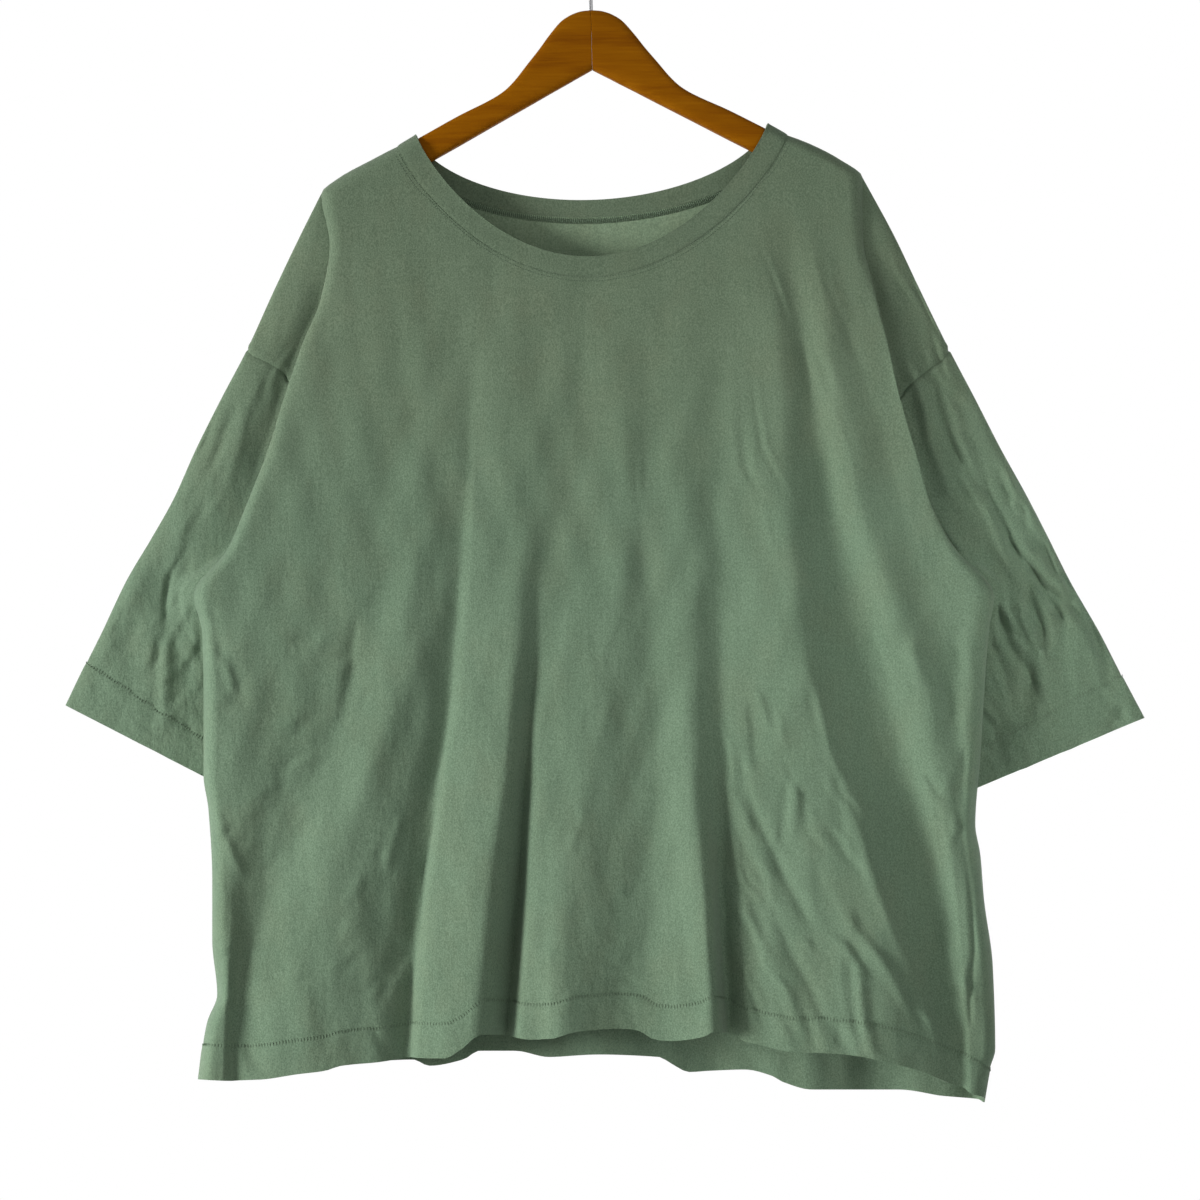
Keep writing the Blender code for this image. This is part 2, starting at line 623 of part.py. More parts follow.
def hang_cloth():
    cloth = Cloth()
    cloth.add("front_panel", panel_grid("front"))
    cloth.add("back_panel", panel_grid("back"), turned=True)
    for side in ("left", "right"):
        left = side == "left"
        for panel in ("front", "back"):
            cloth.add(panel + "_panel", shoulder_grid(side, panel), turned=left)
        cloth.add("sleeve_" + side, sleeve_grid(side), turned=left)
    cloth.add("neck_band", band_grid("front"), turned=True)
    cloth.add("neck_band", band_grid("back"))
    normals = cloth.normals()
    for name in cloth.pieces:
        band = name == "neck_band"
        finish = material(name + "_cotton", SAGE_BAND if band else SAGE, 0.95)
        points, faces = cloth.wall(name, BAND_WALL if band else WALL, normals)
        mesh_object(name, points, faces, finish)


def arm_ring(out, top, bottom, full):
    """One section of a wooden half: a rectangle with well rounded corners."""
    ring = []
    for i in range(ARM_SIDES):
        turn = 2 * math.pi * (i + 0.5) / ARM_SIDES
        across, along = math.cos(turn), math.sin(turn)
        size = (abs(across) ** ARM_SQUARENESS + abs(along) ** ARM_SQUARENESS) ** (-1 / ARM_SQUARENESS)
        y = across * size * HALF_THICKNESS * full
        down = (top + bottom) / 2 - along * size * (bottom - top) / 2
        ring.append((out, y, HEAD_DOWN + down))
    return ring


def tilt(points):
    """Turns places about the hook's top by the hanger's lean."""
    x = points[..., 0] * math.cos(HANGER_TILT) + points[..., 2] * math.sin(HANGER_TILT)
    down = points[..., 2] * math.cos(HANGER_TILT) - points[..., 0] * math.sin(HANGER_TILT)
    return np.stack([x, points[..., 1], down], axis=-1)


def wooden_half(side, finish, hole):
    rings = np.array([arm_ring(*row) for row in zip(*ARM.values())])
    rings[..., 0] += JOINT_GAP / 2
    if side == "left":
        rings[..., 0] *= -1
    points = upright(tilt(rings)).reshape(-1, 3)
    count = len(rings)
    faces = []
    for row in range(count - 1):
        for i in range(ARM_SIDES):
            after = (i + 1) % ARM_SIDES
            start, end = row * ARM_SIDES, (row + 1) * ARM_SIDES
            faces.append([start + i, start + after, end + after, end + i])
    faces.append(list(range(ARM_SIDES))[::-1])
    faces.append(list(range((count - 1) * ARM_SIDES, count * ARM_SIDES)))
    if side == "left":
        faces = [face[::-1] for face in faces]
    arm = mesh_object("hanger_arm_" + side, points, faces, finish)
    cut = arm.modifiers.new("stem hole", "BOOLEAN")
    cut.operation = "DIFFERENCE"
    cut.object = hole
    return arm


def stem_hole():
    """The drilled hole in the head, half of it in each wooden half."""
    mesh = bpy.data.meshes.new("stem_hole")
    tool = bmesh.new()
    depth = STEM_DEPTH + 1
    bmesh.ops.create_cone(
        tool, cap_ends=True, segments=12, radius1=STEM_HOLE_RADIUS * MM,
        radius2=STEM_HOLE_RADIUS * MM, depth=(depth + 6) * MM,
    )
    tool.to_mesh(mesh)
    tool.free()
    hole = bpy.data.objects.new("stem_hole", mesh)
    hole.location = upright(tilt(np.array([0.0, 0.0, HEAD_DOWN + depth / 2 - 3]))) * MM
    hole.rotation_euler = (0, -HANGER_TILT, 0)
    hole.hide_render = True
    hole.display_type = "WIRE"
    bpy.context.collection.objects.link(hole)
    return hole


def wire_hook(finish):
    """The steel wire: its stem, a soft bend to the right, and the round hook."""
    centre = HOOK_RADIUS - WIRE_RADIUS
    path = [(0, HEAD_DOWN + STEM_DEPTH), (0, HEAD_DOWN), (0, 47)]
    leave = math.radians(-45)
    join = (HOOK_RADIUS * math.cos(leave), centre - HOOK_RADIUS * math.sin(leave))
    bend = np.linspace(0, 1, 7)[1:]
    path += [(join[0] * s**2 * (1.6 - 0.6 * s), mix(47, join[1], s)) for s in bend[:-1]]
    for turn in np.radians(np.linspace(-45, 208, 24)):
        path.append((HOOK_RADIUS * math.cos(turn), centre - HOOK_RADIUS * math.sin(turn)))
    points = upright(tilt(np.array([(x, 0, down) for x, down in path], float))) * MM
    curve = bpy.data.curves.new("hook", "CURVE")
    curve.dimensions = "3D"
    curve.bevel_depth = WIRE_RADIUS * MM
    curve.bevel_resolution = 2
    curve.use_fill_caps = True
    spline = curve.splines.new("POLY")
    spline.points.add(len(points) - 1)
    for knot, place in zip(spline.points, points):
        knot.co = (*place, 1)
    curve.materials.append(finish)
    bpy.context.collection.objects.link(bpy.data.objects.new("hook", curve))


def hang_up():
    hole = stem_hole()
    for side in ("left", "right"):
        wooden_half(side, material("varnished_wood_" + side, WOOD, 0.35), hole)
    wire_hook(material("hook_steel", STEEL, 0.3, 1.0))


for thing in list(bpy.data.objects):
    bpy.data.objects.remove(thing, do_unlink=True)
hang_cloth()
hang_up()
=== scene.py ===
"""The looks of a wide drop-shoulder t-shirt with three-quarter sleeves on a wooden hanger.

Sizes are millimetres until MM turns them into metres, with the same axes and named sizes as the
solids: x runs to the right of someone who faces the front, y towards the back, and down is measured
from the inside top of the hook, the origin. Places on the cloth are given as seen by an eye
EYE_DISTANCE in front, and sight_line moves each one along its line of sight to its own depth.
"""

import json
import math

import bmesh
import bpy
import numpy as np
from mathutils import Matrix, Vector

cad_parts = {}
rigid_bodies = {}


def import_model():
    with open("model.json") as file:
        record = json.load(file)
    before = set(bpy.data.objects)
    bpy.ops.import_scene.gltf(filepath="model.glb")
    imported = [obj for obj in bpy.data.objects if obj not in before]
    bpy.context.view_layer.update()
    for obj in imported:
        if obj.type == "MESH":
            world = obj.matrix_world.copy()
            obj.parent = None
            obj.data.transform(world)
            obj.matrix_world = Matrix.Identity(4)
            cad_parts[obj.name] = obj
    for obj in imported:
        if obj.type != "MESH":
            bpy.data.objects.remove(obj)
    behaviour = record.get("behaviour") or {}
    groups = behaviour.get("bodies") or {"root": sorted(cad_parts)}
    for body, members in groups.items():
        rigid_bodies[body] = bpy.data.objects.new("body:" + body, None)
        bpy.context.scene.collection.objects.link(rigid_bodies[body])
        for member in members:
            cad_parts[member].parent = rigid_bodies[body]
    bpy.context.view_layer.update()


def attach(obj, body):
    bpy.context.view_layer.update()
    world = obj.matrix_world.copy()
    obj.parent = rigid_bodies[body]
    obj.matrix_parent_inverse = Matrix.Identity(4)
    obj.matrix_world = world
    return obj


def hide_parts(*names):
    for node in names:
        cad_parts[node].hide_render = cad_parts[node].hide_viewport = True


MM = 0.001

# Cloth
WALL = 1.5
BAND_WALL = 2.4
EYE_DISTANCE = 2000.0
EYE_X = 8.5
EYE_DOWN = 526.4
RIDGE_RADIUS = 9.0
HEM_DEPTH = 27.0
CUFF_DEPTH = 38.0
HEM_STEP = 0.5
HEM_STEP_WIDTH = 2.5
STITCH_DIP = 0.28
STITCH_DIP_WIDTH = 1.6
SEAM_DIP = {"left": 0.8, "right": 1.5}
SEAM_DIP_WIDTH = 1.1
SEAM_WELT = 0.5
SEAM_WELT_WIDTH = 1.4
WELT_RUN = 2.6
NECK_DIP = 0.3
NECK_DIP_WIDTH = 1.2
NECK_WELT = 0.2
NECK_STITCH_DIP = 0.4
NECK_STITCH_WIDTH = 0.9
BAND_ROLL = 0.12
BAND_EDGE = 0.35
BAND_EDGE_WIDTH = 1.6
CALM_DOWNS = (205, 330)

# Stitches: length, width and pitch, and whether they stand across their row. The neck's two rows
# and its overlock run beside the seam, and end some points short of the shoulders.
STITCHES = {
    "hem_stitches": (3.8, 0.75, 2.5, True),
    "neck_stitches": (1.9, 0.6, 2.2, False),
    "neck_overlock": (5.4, 1.1, 1.6, True),
}
NECK_ROWS = (1.4, 4.4)
OVERLOCK_RUN = 2.6
OVERLOCK_LIFT = 0.2
NECK_ROWS_END = 14
OVERLOCK_END = 20

# Hanger
HANGER_TILT = math.radians(1.3)
HEAD_DOWN = 55.0
HALF_THICKNESS = 6.5
JOINT_GAP = 0.06
JOINT_EDGE = 0.5
WAIST_OUT = 80
TIP_OUT = 198
WIRE_RADIUS = 1.6
HOOK_RADIUS = 17.0
HOOK_STRAIGHT_TO = 47
HOOK_TURNS = (-45, 208)
STEM_DEPTH = 17.0
STEM_HOLE_RADIUS = 2.1
STEM_SIDES = 24

# Camera: the photograph's eye, its lens and the frame's width
LENS = 75.0
SENSOR = 36.0
FLOOR_DOWN = 1500.0
FLOOR_RADIUS = 1950.0
ROOM = 0.3

# Lights: place in metres, size, power, spread in degrees and target in millimetres
LIGHTS = {
    "key": ((-3.4, -1.45, -0.55), 1.3, 12.8, 44, (EYE_X, 0, 840)),
    "fill": ((1.5, -2.3, 0.6), 1.4, 8, 180, (EYE_X, 0, EYE_DOWN)),
    "sleeve fill": ((1.9, -1.9, -0.2), 0.5, 0.24, 12, (400, 10, 520)),
    "rear left": ((-1.8, 2.2, 0.2), 1.4, 16, 180, (EYE_X, 0, EYE_DOWN)),
    "rear right": ((2.2, 1.9, -0.2), 1.4, 8, 180, (EYE_X, 0, EYE_DOWN)),
}


def table(columns, rows):
    """The rows of a table as one array for each named column."""
    return dict(zip(columns.split(), np.array(rows, float).T))


# The outline of the body: the shoulder from the neck seam to the hanger's end, the folded edge in
# front of the sleeve down to the armpit, then the side down to the hem.
EDGES = {
    "left": table("down x y reach", [
        (164, -153, 0, 18), (174, -172, 0, 18), (190, -201, 0, 16), (202, -214, 0, 12),
        (242, -207, -5, 9), (285, -214, -9, 8), (322, -229, -11, 8), (366, -244, -12, 8),
        (408, -257, -12, 8), (446, -272, -11, 8), (488, -290, -7, 8), (522, -316, 0, 9),
        (553, -309, 0, 10), (598, -308, 0, 10), (666, -308, 0, 10), (694, -304, 0, 10),
        (750, -301, 0, 10), (798, -301, 0, 10), (842, -297, 0, 10), (864, -305, 0, 10),
        (886, -309, 0, 10), (910, -312, 0, 10),
    ]),
    "right": table("down x y reach", [
        (155, 158, 0, 18), (163, 178, 0, 18), (174, 199, 0, 16), (189, 218, 0, 12),
        (235, 218, -4, 9), (277, 227, -9, 8), (322, 238, -12, 8), (366, 248, -13, 8),
        (407, 260, -13, 8), (446, 271, -12, 8), (486, 292, -8, 8), (523, 323, 0, 9),
        (550, 319, 0, 10), (601, 315, 0, 10), (652, 312, 0, 10), (706, 308, 0, 10),
        (730, 312, 0, 10), (766, 315, 0, 10), (819, 322, 0, 10), (886, 324, 0, 10),
        (900, 320, 0, 10), (928, 315, 0, 10),
    ]),
}
SHOULDER_END_ROW = 3
ARMPIT_ROW = 11

# Between the hanger's end and the armpit the back panel starts in a shallow valley behind the
# folded edge.
VALLEYS = {
    "left": table("down inward behind", [
        (202, 0, 0), (242, 3, 10), (285, 6, 17), (322, 10, 22), (366, 12, 24),
        (408, 12, 24), (446, 8, 22), (488, 2, 13), (522, 0, 0),
    ]),
    "right": table("down inward behind", [
        (189, 0, 0), (235, 3, 9), (277, 6, 17), (322, 10, 23), (366, 12, 25),
        (407, 12, 25), (446, 8, 23), (486, 2, 14), (523, 0, 0),
    ]),
}

# The sleeve from the hanger's end, row 0, past the armpit, row 8, to the cuff.
SLEEVE_COLUMNS = "outer_x outer_down inner_down soft_x tucked valley_y gap_y mid_y outer_y back_y"
SLEEVES = {
    "left": table(SLEEVE_COLUMNS, [
        (-214, 202, 202, -214, 0, 0, 0, 0, 0, 0),
        (-232, 238, 242, -207, 3, -4, -4, -4, 0, 8),
        (-252, 280, 285, -214, 11, -2, 0, -2, 2, 10),
        (-273, 326, 322, -229, 21, 0, 4, 0, 5, 14),
        (-294, 366, 366, -244, 27, 0, 6, 2, 8, 17),
        (-314, 406, 408, -257, 27, 1, 7, 3, 10, 20),
        (-332, 446, 446, -270, 20, 0, 6, 4, 12, 22),
        (-350, 478, 488, -290, 8, 0, 6, 6, 14, 24),
        (-369, 510, 522, -318, 0, 4, 8, 8, 15, 26),
        (-390, 554, 581, -296, 0, 14, 13, 11, 18, 30),
        (-406, 586, 642, -266, 0, 16, 15, 13, 20, 34),
        (-418, 611, 706, -234, 0, 17, 16, 14, 22, 36),
    ]),
    "right": table(SLEEVE_COLUMNS, [
        (218, 189, 189, 218, 0, 0, 0, 0, 0, 0),
        (243, 235, 235, 218, 4, -4, -4, -4, 0, 8),
        (263, 277, 277, 227, 13, -2, 1, -1, 2, 10),
        (287, 326, 322, 238, 22, 0, 5, 1, 5, 14),
        (308, 366, 366, 248, 28, 1, 7, 2, 8, 17),
        (328, 405, 407, 260, 28, 1, 8, 3, 10, 20),
        (349, 443, 446, 272, 20, 0, 7, 4, 12, 22),
        (367, 478, 486, 292, 8, 0, 6, 6, 14, 24),
        (384, 512, 523, 324, 0, 4, 8, 8, 15, 26),
        (407, 552, 581, 304, 0, 14, 13, 11, 18, 30),
        (426, 589, 642, 275, 0, 16, 15, 13, 20, 34),
        (443, 621, 706, 240, 0, 17, 16, 14, 22, 36),
    ]),
}
SEAM_ROW = 3
SLEEVE_ARMPIT_ROW = 8
SLEEVE_ROWS = 12
UNDERARMS = {
    "left": table("down x y", [
        (522, -316, 0), (530, -315.5, 3), (540, -312, 6), (558, -306, 10), (585, -290, 16),
        (642, -262, 23), (706, -234, 26),
    ]),
    "right": table("down x y", [
        (523, 323, 0), (531, 322.5, 3), (541, 320, 6), (559, 315, 10), (586, 298, 16),
        (642, 271, 23), (706, 240, 26),
    ]),
}
# How far down the armhole seam has run from the top ridge, 0, towards the armpit, 1
ARMHOLES = {
    "left": [(0, 0), (0.24, 0.062), (0.44, 0.125), (0.6, 0.2), (0.76, 0.42), (1, 1)],
    "right": [(0, 0), (0.24, 0.09), (0.44, 0.18), (0.6, 0.25), (0.76, 0.45), (1, 1)],
}

# One section of a sleeve, from the inner line round the front, the top ridge at 0.5 and the back:
# the place around, the share of the way in above and below the armpit with the tuck between them,
# and the two depths that are mixed there.
SECTION = [
    (0.00, 1.00, 0.00, 1.000, "edge_y", "edge_y", 0.0),
    (0.03, 1.00, 0.05, 0.985, "edge_y", "valley_y", 0.25),
    (0.07, 1.00, 0.50, 0.950, "edge_y", "valley_y", 0.5),
    (0.14, 1.00, 1.00, 0.870, "valley_y", "valley_y", 0.0),
    (0.21, 1.00, 0.50, 0.780, "valley_y", "gap_y", 0.85),
    (0.28, 0.93, 0.00, 0.680, "gap_y", "gap_y", 0.0),
    (0.38, 0.50, 0.00, 0.420, "mid_y", "mid_y", 0.0),
    (0.46, 0.10, 0.00, 0.100, "mid_y", "outer_y", 0.45),
    (0.50, 0.00, 0.00, 0.000, "outer_y", "outer_y", 0.0),
    (0.54, 0.10, 0.00, 0.100, "outer_y", "back_y", 0.55),
    (0.62, 0.45, 0.00, 0.420, "back_y", "back_y", 0.0),
    (0.72, 0.80, 0.00, 0.700, "back_y", "back_y", 0.0),
    (0.86, 0.95, 0.00, 0.900, "back_y", "back_edge_y", 0.5),
    (0.95, 1.00, 0.00, 0.975, "back_y", "back_edge_y", 0.88),
    (1.00, 1.00, 0.00, 1.000, "back_edge_y", "back_edge_y", 0.0),
]

# The hanging folds of each panel, from the left: where each line lies at five heights, and how far
# it stands out from the panel's mean depth there.
FOLD_DOWNS = (318, 446, 606, 766, 886)
FOLDS = {
    "front": {
        "side roll": ((-214, -257, -291, -288, -294), (0, 0, 0, 0.5, 0.5)),
        "left trough": ((-148, -158, -197, -261, -283), (0, -1, -5, -7.5, -6.5)),
        "left rise": ((-128, -132, -158, -209, -232), (0, 1, 2, 2, 2)),
        "first shelf": ((-102, -112, -132, -157, -168), (0, -1, -2.5, -6, -6)),
        "first fold": ((-92, -100, -113, -136, -146), (0, -2.5, -9, -16, -17)),
        "first lip": ((-86, -92, -104, -128, -136), (0, -0.5, -3, -5, -5)),
        "second rise": ((-60, -58, -64, -82, -94), (0.8, 2, 5, 7, 6)),
        "second fold": ((-32, -34, -48, -57, -67), (0, 0, -6.5, -19, -24)),
        "second lip": ((-20, -22, -40, -49, -57), (-0.4, -1, -2, -3, -4)),
        "upper dip": ((-6, -8, -20, -36, -42), (-0.8, -1.5, 1, 1.5, 0.5)),
        "middle rise": ((24, 28, 10, -18, -24), (0.4, 1, 3, 5, 6)),
        "middle trough": ((50, 46, 50, 47, 40), (0, -0.8, -2.4, -6, -8)),
        "third rise": ((82, 80, 80, 92, 99), (0, 1.2, 3.5, 9, 10)),
        "third fold": ((104, 104, 104, 106, 113), (-0.5, -1.8, -4, -13, -19)),
        "third lip": ((120, 119, 120, 122, 132), (0, -0.5, -1.5, -4, -5)),
        "right rise": ((148, 156, 173, 223, 231), (1, 5, 8, 8, 7)),
        "right trough": ((170, 188, 226, 275, 299), (-3, -8, -13, -15, -14)),
        "outer rise": ((192, 218, 268, 295, 306), (1, 2, 1, -2.5, -12)),
        "outer trough": ((215, 251, 295, 306, 315), (-3, -5, -6, -3, -12)),
    },
    "back": {
        "left roll": ((-212, -252, -286, -280, -292), (0, -1, -6, -2, 0)),
        "left trough": ((-168, -192, -232, -244, -252), (0, -2, -6, -5, -6)),
        "left rise": ((-128, -152, -184, -192, -200), (0, 1, 2, 5, 7)),
        "second trough": ((-88, -96, -112, -128, -136), (0, -2, -3, -5, -6)),
        "second rise": ((-48, -48, -56, -56, -64), (0, 2, 3, 6, 8)),
        "middle trough": ((0, 0, 0, -4, 0), (0, -1, -3, -6, -7)),
        "third rise": ((48, 56, 72, 88, 108), (0, 2, 4, 7, 9)),
        "third trough": ((96, 112, 136, 160, 176), (0, -2, -4, -5, -5)),
        "right rise": ((136, 160, 192, 224, 232), (0, 1, 1, 4, 6)),
        "right trough": ((176, 208, 248, 272, 280), (0, -2, -6, -3, -3)),
        "right roll": ((220, 252, 292, 300, 311), (0, -1, -6, -1, 0)),
    },
}
FOLDS_BEGIN = 200
FOLDS_FREE = (230, 400)
MEAN_DEPTH = {
    "front": table("down out", [(155, 9), (260, 13), (420, 17), (620, 21), (920, 25)]),
    "back": table("down out", [(155, 9), (260, 12), (420, 13), (620, 15), (920, 18)]),
}
SIDE_OF_PANEL = {"front": -1, "back": 1}

HEMS = {
    "front": table("x down", [
        (-312, 910), (-289, 911), (-264, 910), (-236, 906), (-212, 903), (-199, 899), (-180, 897),
        (-143, 892), (-116, 893), (-104, 887), (-88, 874), (-71, 874), (-46, 878), (-28, 877),
        (-5, 871), (28, 869), (40, 871), (53, 878), (65, 879), (91, 876), (99, 872), (117, 873),
        (122, 878), (136, 882), (164, 888), (193, 889), (226, 893), (261, 902), (294, 915),
        (315, 928),
    ]),
    "back": table("x down", [
        (-312, 910), (-288, 907), (-232, 901), (-178, 896), (-141, 894), (-128, 899), (-101, 894),
        (-88, 887), (-60, 887), (-32, 892), (9, 890), (56, 892), (65, 897), (80, 904), (96, 903),
        (124, 902), (146, 907), (155, 912), (178, 918), (216, 918), (247, 918), (282, 923),
        (315, 928),
    ]),
}

NECK = {
    ("front", "seam"): dict(left=(-153, 164), right=(158, 155), drop=107.5, bow=0.83),
    ("front", "edge"): dict(left=(-138, 155), right=(142, 146), drop=101, bow=0.83),
    ("back", "seam"): dict(left=(-153, 164), right=(158, 155), drop=61, bow=0.62),
    ("back", "edge"): dict(left=(-138, 155), right=(142, 146), drop=56, bow=0.62),
}

ARM = table("out top bottom full", [
    (0, 0, 47.4, 1), (7, 0.6, 51.2, 1), (13.6, 2.4, 54.7, 1), (19, 5, 57.7, 1),
    (24, 8.4, 60.4, 1), (33.6, 19.2, 65.5, 1), (42.4, 30.8, 70.3, 1), (51.6, 42, 75.3, 1),
    (62.4, 55.2, 81.1, 1), (70, 62.5, 85.2, 1), (80, 68.9, 90.6, 1), (106.4, 81.5, 105, 1),
    (132, 95, 118.7, 1), (165, 112.7, 136.5, 1), (192, 127.2, 150, 1), (200, 132.5, 152, 0.95),
    (205, 137, 151, 0.75), (208, 141, 148, 0.4),
])
ARM_SQUARENESS = 4.0

# Creases on top of the hanging folds: width across, how far the cloth stands out of its
# fold, and then x and down of each point of the line that it follows
CREASES = {
    "front": [
        # The left trough, the armpit and the side below it
        (5, -1.4, -182, 528, -189, 558, -192, 598, -201, 638),
        (3, -0.7, -263, 569, -238, 562, -211, 548),
        (4, -0.9, -302, 523, -298, 558, -290, 584),
        (4, -0.6, -286, 576, -280, 598, -275, 616),
        (4, 1.0, -295, 566, -281, 606),
        (4, 0.9, -304, 686, -291, 718, -274, 754),
        (7, -1.1, -309, 686, -300, 726, -286, 766),
        # The first fold and the hem to the left of it
        (3, 1.3, -101, 598, -112, 642, -124, 686, -136, 742, -138, 806, -140, 892),
        (4, 1.0, -148, 693, -157, 720, -164, 750),
        (3.5, 1.0, -141, 810, -152, 830, -162, 848),
        (4, -1.2, -144, 798, -158, 824, -171, 854),
        (3, -0.9, -188, 846, -179, 838, -161, 824),
        (3.5, -1.2, -275, 878, -268, 896, -262, 907),
        (4, -1.0, -174, 866, -167, 880, -161, 893),
        # To the right of the third fold
        (3.5, 0.9, 134, 597, 140, 616, 145, 634),
        (3, 0.8, 152, 616, 155, 645),
        (4, -0.8, 127, 606, 132, 630, 133, 658),
        (4.5, -1.8, 120, 661, 134, 698, 152, 739, 168, 770, 186, 806),
        (4, -1.5, 164, 661, 157, 686, 154, 731),
        (4, 0.9, 169, 662, 163, 688, 160, 726),
        # Along the right trough
        (5, 1.8, 166, 550, 178, 590, 190, 638, 208, 686, 230, 758, 248, 805, 266, 846),
        (4, -1.0, 173, 584, 184, 630, 199, 674, 210, 710),
        (3.5, 0.9, 227, 606, 233, 629, 237, 646),
        (3.5, 1.3, 266, 654, 276, 710, 285, 758),
        # The right hip
        (5, 1.3, 255, 558, 269, 590, 274, 610),
        (4.5, -1.4, 276, 566, 284, 598, 288, 632),
        (5, -1.5, 298, 552, 288, 598, 292, 658),
        (4, 1.0, 308, 539, 301, 590, 303, 640),
        (5, -1.3, 287, 526, 272, 558, 261, 570),
        # Low on the right, down to the hem
        (5, 1.6, 116, 755, 134, 795, 152, 826, 165, 858, 179, 885),
        (5, -1.5, 144, 766, 160, 806, 178, 838, 188, 862, 196, 886),
        (4.5, 1.4, 199, 764, 210, 786, 233, 814, 251, 845, 263, 870),
        (3.5, 1.4, 215, 809, 217, 840, 222, 885),
        (4, -1.2, 208, 806, 210, 842, 215, 882),
        (6, -1.6, 257, 806, 278, 840, 295, 876),
        (5, 1.4, 284, 790, 295, 826, 303, 854),
        (4, -1.3, 173, 858, 178, 874, 181, 888),
        (4, -1.2, 197, 862, 202, 886),
        (4, 1.2, 223, 862, 226, 893),
        # Above the middle of the hem
        (3, -0.7, 11, 816, 26, 819, 40, 813),
        (3, -0.7, 13, 834, 31, 830, 42, 835),
        (3.5, 0.9, 26, 853, 29, 870),
        # The chest, the right edge and the side seam
        (5, -1.5, 164, 310, 173, 338, 178, 374),
        (3, 0.8, 309, 540, 308, 580, 307, 620, 304, 660, 302, 700, 303, 740),
        (2.2, -1.0, 302, 729, 306, 771, 308, 806, 305, 833, 304, 880),
        (3, 0.5, 297, 725, 301, 771, 303, 806, 300, 833, 299, 880),
        (4, -1.0, 300, 862, 298, 880, 296, 898),
    ],
    "back": [
        # Below the shoulders
        (6, -1.2, -196, 230, -180, 270, -172, 330),
        (6, -1.2, 200, 226, 186, 268, 178, 322),
        (8, -0.9, -90, 262, -30, 276, 40, 274, 96, 258),
        # The two sides
        (5, -1.4, -290, 560, -262, 600, -240, 660),
        (4, 1.1, -280, 570, -252, 612, -232, 668),
        (5, -1.4, 296, 560, 270, 610, 252, 668),
        (4, 1.1, 286, 566, 262, 620, 244, 676),
        # Low down
        (5, 1.4, -150, 720, -160, 780, -164, 850),
        (4, -1.1, -92, 700, -100, 760, -104, 830),
        (5, 1.2, 30, 740, 38, 800, 44, 860),
        (4.5, -1.2, 126, 690, 140, 760, 150, 820),
        (4, 1.1, 214, 760, 226, 820, 230, 880),
    ],
    "left": [
        # From the elbow down
        (8, 1.6, -335, 470, -360, 510, -384, 550, -400, 590),
        (12, -1.7, -331, 478, -344, 518, -364, 558, -376, 606),
        (3.5, -1.8, -334, 499, -337, 522, -340, 546),
        (4, -2.4, -339, 546, -345, 562, -346, 590, -348, 613, -353, 637),
        (5, 1.6, -336, 558, -340, 584, -341, 614, -345, 640),
        (3, -0.6, -318, 536, -321, 552, -316, 566),
        (3, -0.5, -327, 566, -322, 581),
        (3, -0.5, -334, 552, -329, 568, -332, 582),
        # Below the armhole seam
        (4, -1.0, -281, 363, -291, 398, -305, 430),
        (4, 0.8, -272, 366, -281, 406, -294, 446),
        # The cuff
        (4, -1.0, -323, 616, -320, 642),
    ],
    "right": [
        # Along the outer edge
        (3.5, -2.0, 332, 461, 336, 480, 351, 498, 365, 516, 385, 533, 400, 550),
        (4, 1.5, 336, 459, 343, 478, 357, 494, 372, 510, 391, 528),
        (5, -2.2, 350, 501, 353, 522, 360, 546, 359, 571),
        (5, 1.5, 362, 518, 368, 546, 368, 578),
        (4, -1.4, 336, 434, 348, 456, 359, 478, 368, 499),
        (4, 1.2, 342, 434, 354, 456, 365, 478),
        (4, -1.3, 313, 429, 320, 442, 328, 456),
        # Close to the body
        (4.5, -1.5, 324, 531, 334, 558, 348, 581, 356, 598),
        (4.5, 1.4, 329, 526, 340, 554, 352, 576),
        (4, -1.2, 320, 558, 328, 576, 338, 598),
        (5, -1.7, 384, 544, 380, 565, 381, 584),
        (5, 1.3, 390, 546, 394, 566, 396, 590),
        (5, -1.4, 359, 578, 351, 598, 349, 610),
        # The cuff
        (5, -1.8, 416, 634, 423, 619, 428, 606),
        (5, -1.6, 327, 622, 331, 651),
        (5, 1.3, 360, 606, 368, 634),
        # Below the armhole seam
        (5, -1.5, 277, 366, 290, 398, 306, 430),
        (5, 1.4, 287, 363, 301, 398, 319, 435),
        (4, -1.2, 296, 382, 311, 416, 325, 446),
        (4.5, 1.6, 262, 340, 273, 402, 303, 467),
        (4, -1.7, 275, 345, 286, 397, 301, 428),
        (4, 1.3, 286, 360, 303, 415, 321, 458),
        (4, -1.7, 308, 420, 325, 456, 338, 481, 347, 516),
        (4, 1.3, 321, 402, 347, 454, 373, 502),
        # The drop shoulder
        (5, -1.8, 256, 262, 268, 288, 286, 322),
        (5, 1.5, 264, 262, 277, 290, 292, 316),
        # The elbow
        (4, -1.6, 347, 498, 373, 533, 388, 556),
    ],
}
CREASE_FADE = 0.25
# On a sleeve they begin at these places around the front, above the armpit and below it, end just
# before the top ridge, begin again and end behind it, and are softer there
FRONT_FROM = ((0.16, 0.24), (0.05, 0.14))
RIDGE_FADE = 0.03
BEHIND_FROM = (0.53, 0.58)
BEHIND_TO = (0.96, 0.08)
BEHIND_SHARE = 0.7
ALONG_FROM = (0.06, 0.24)

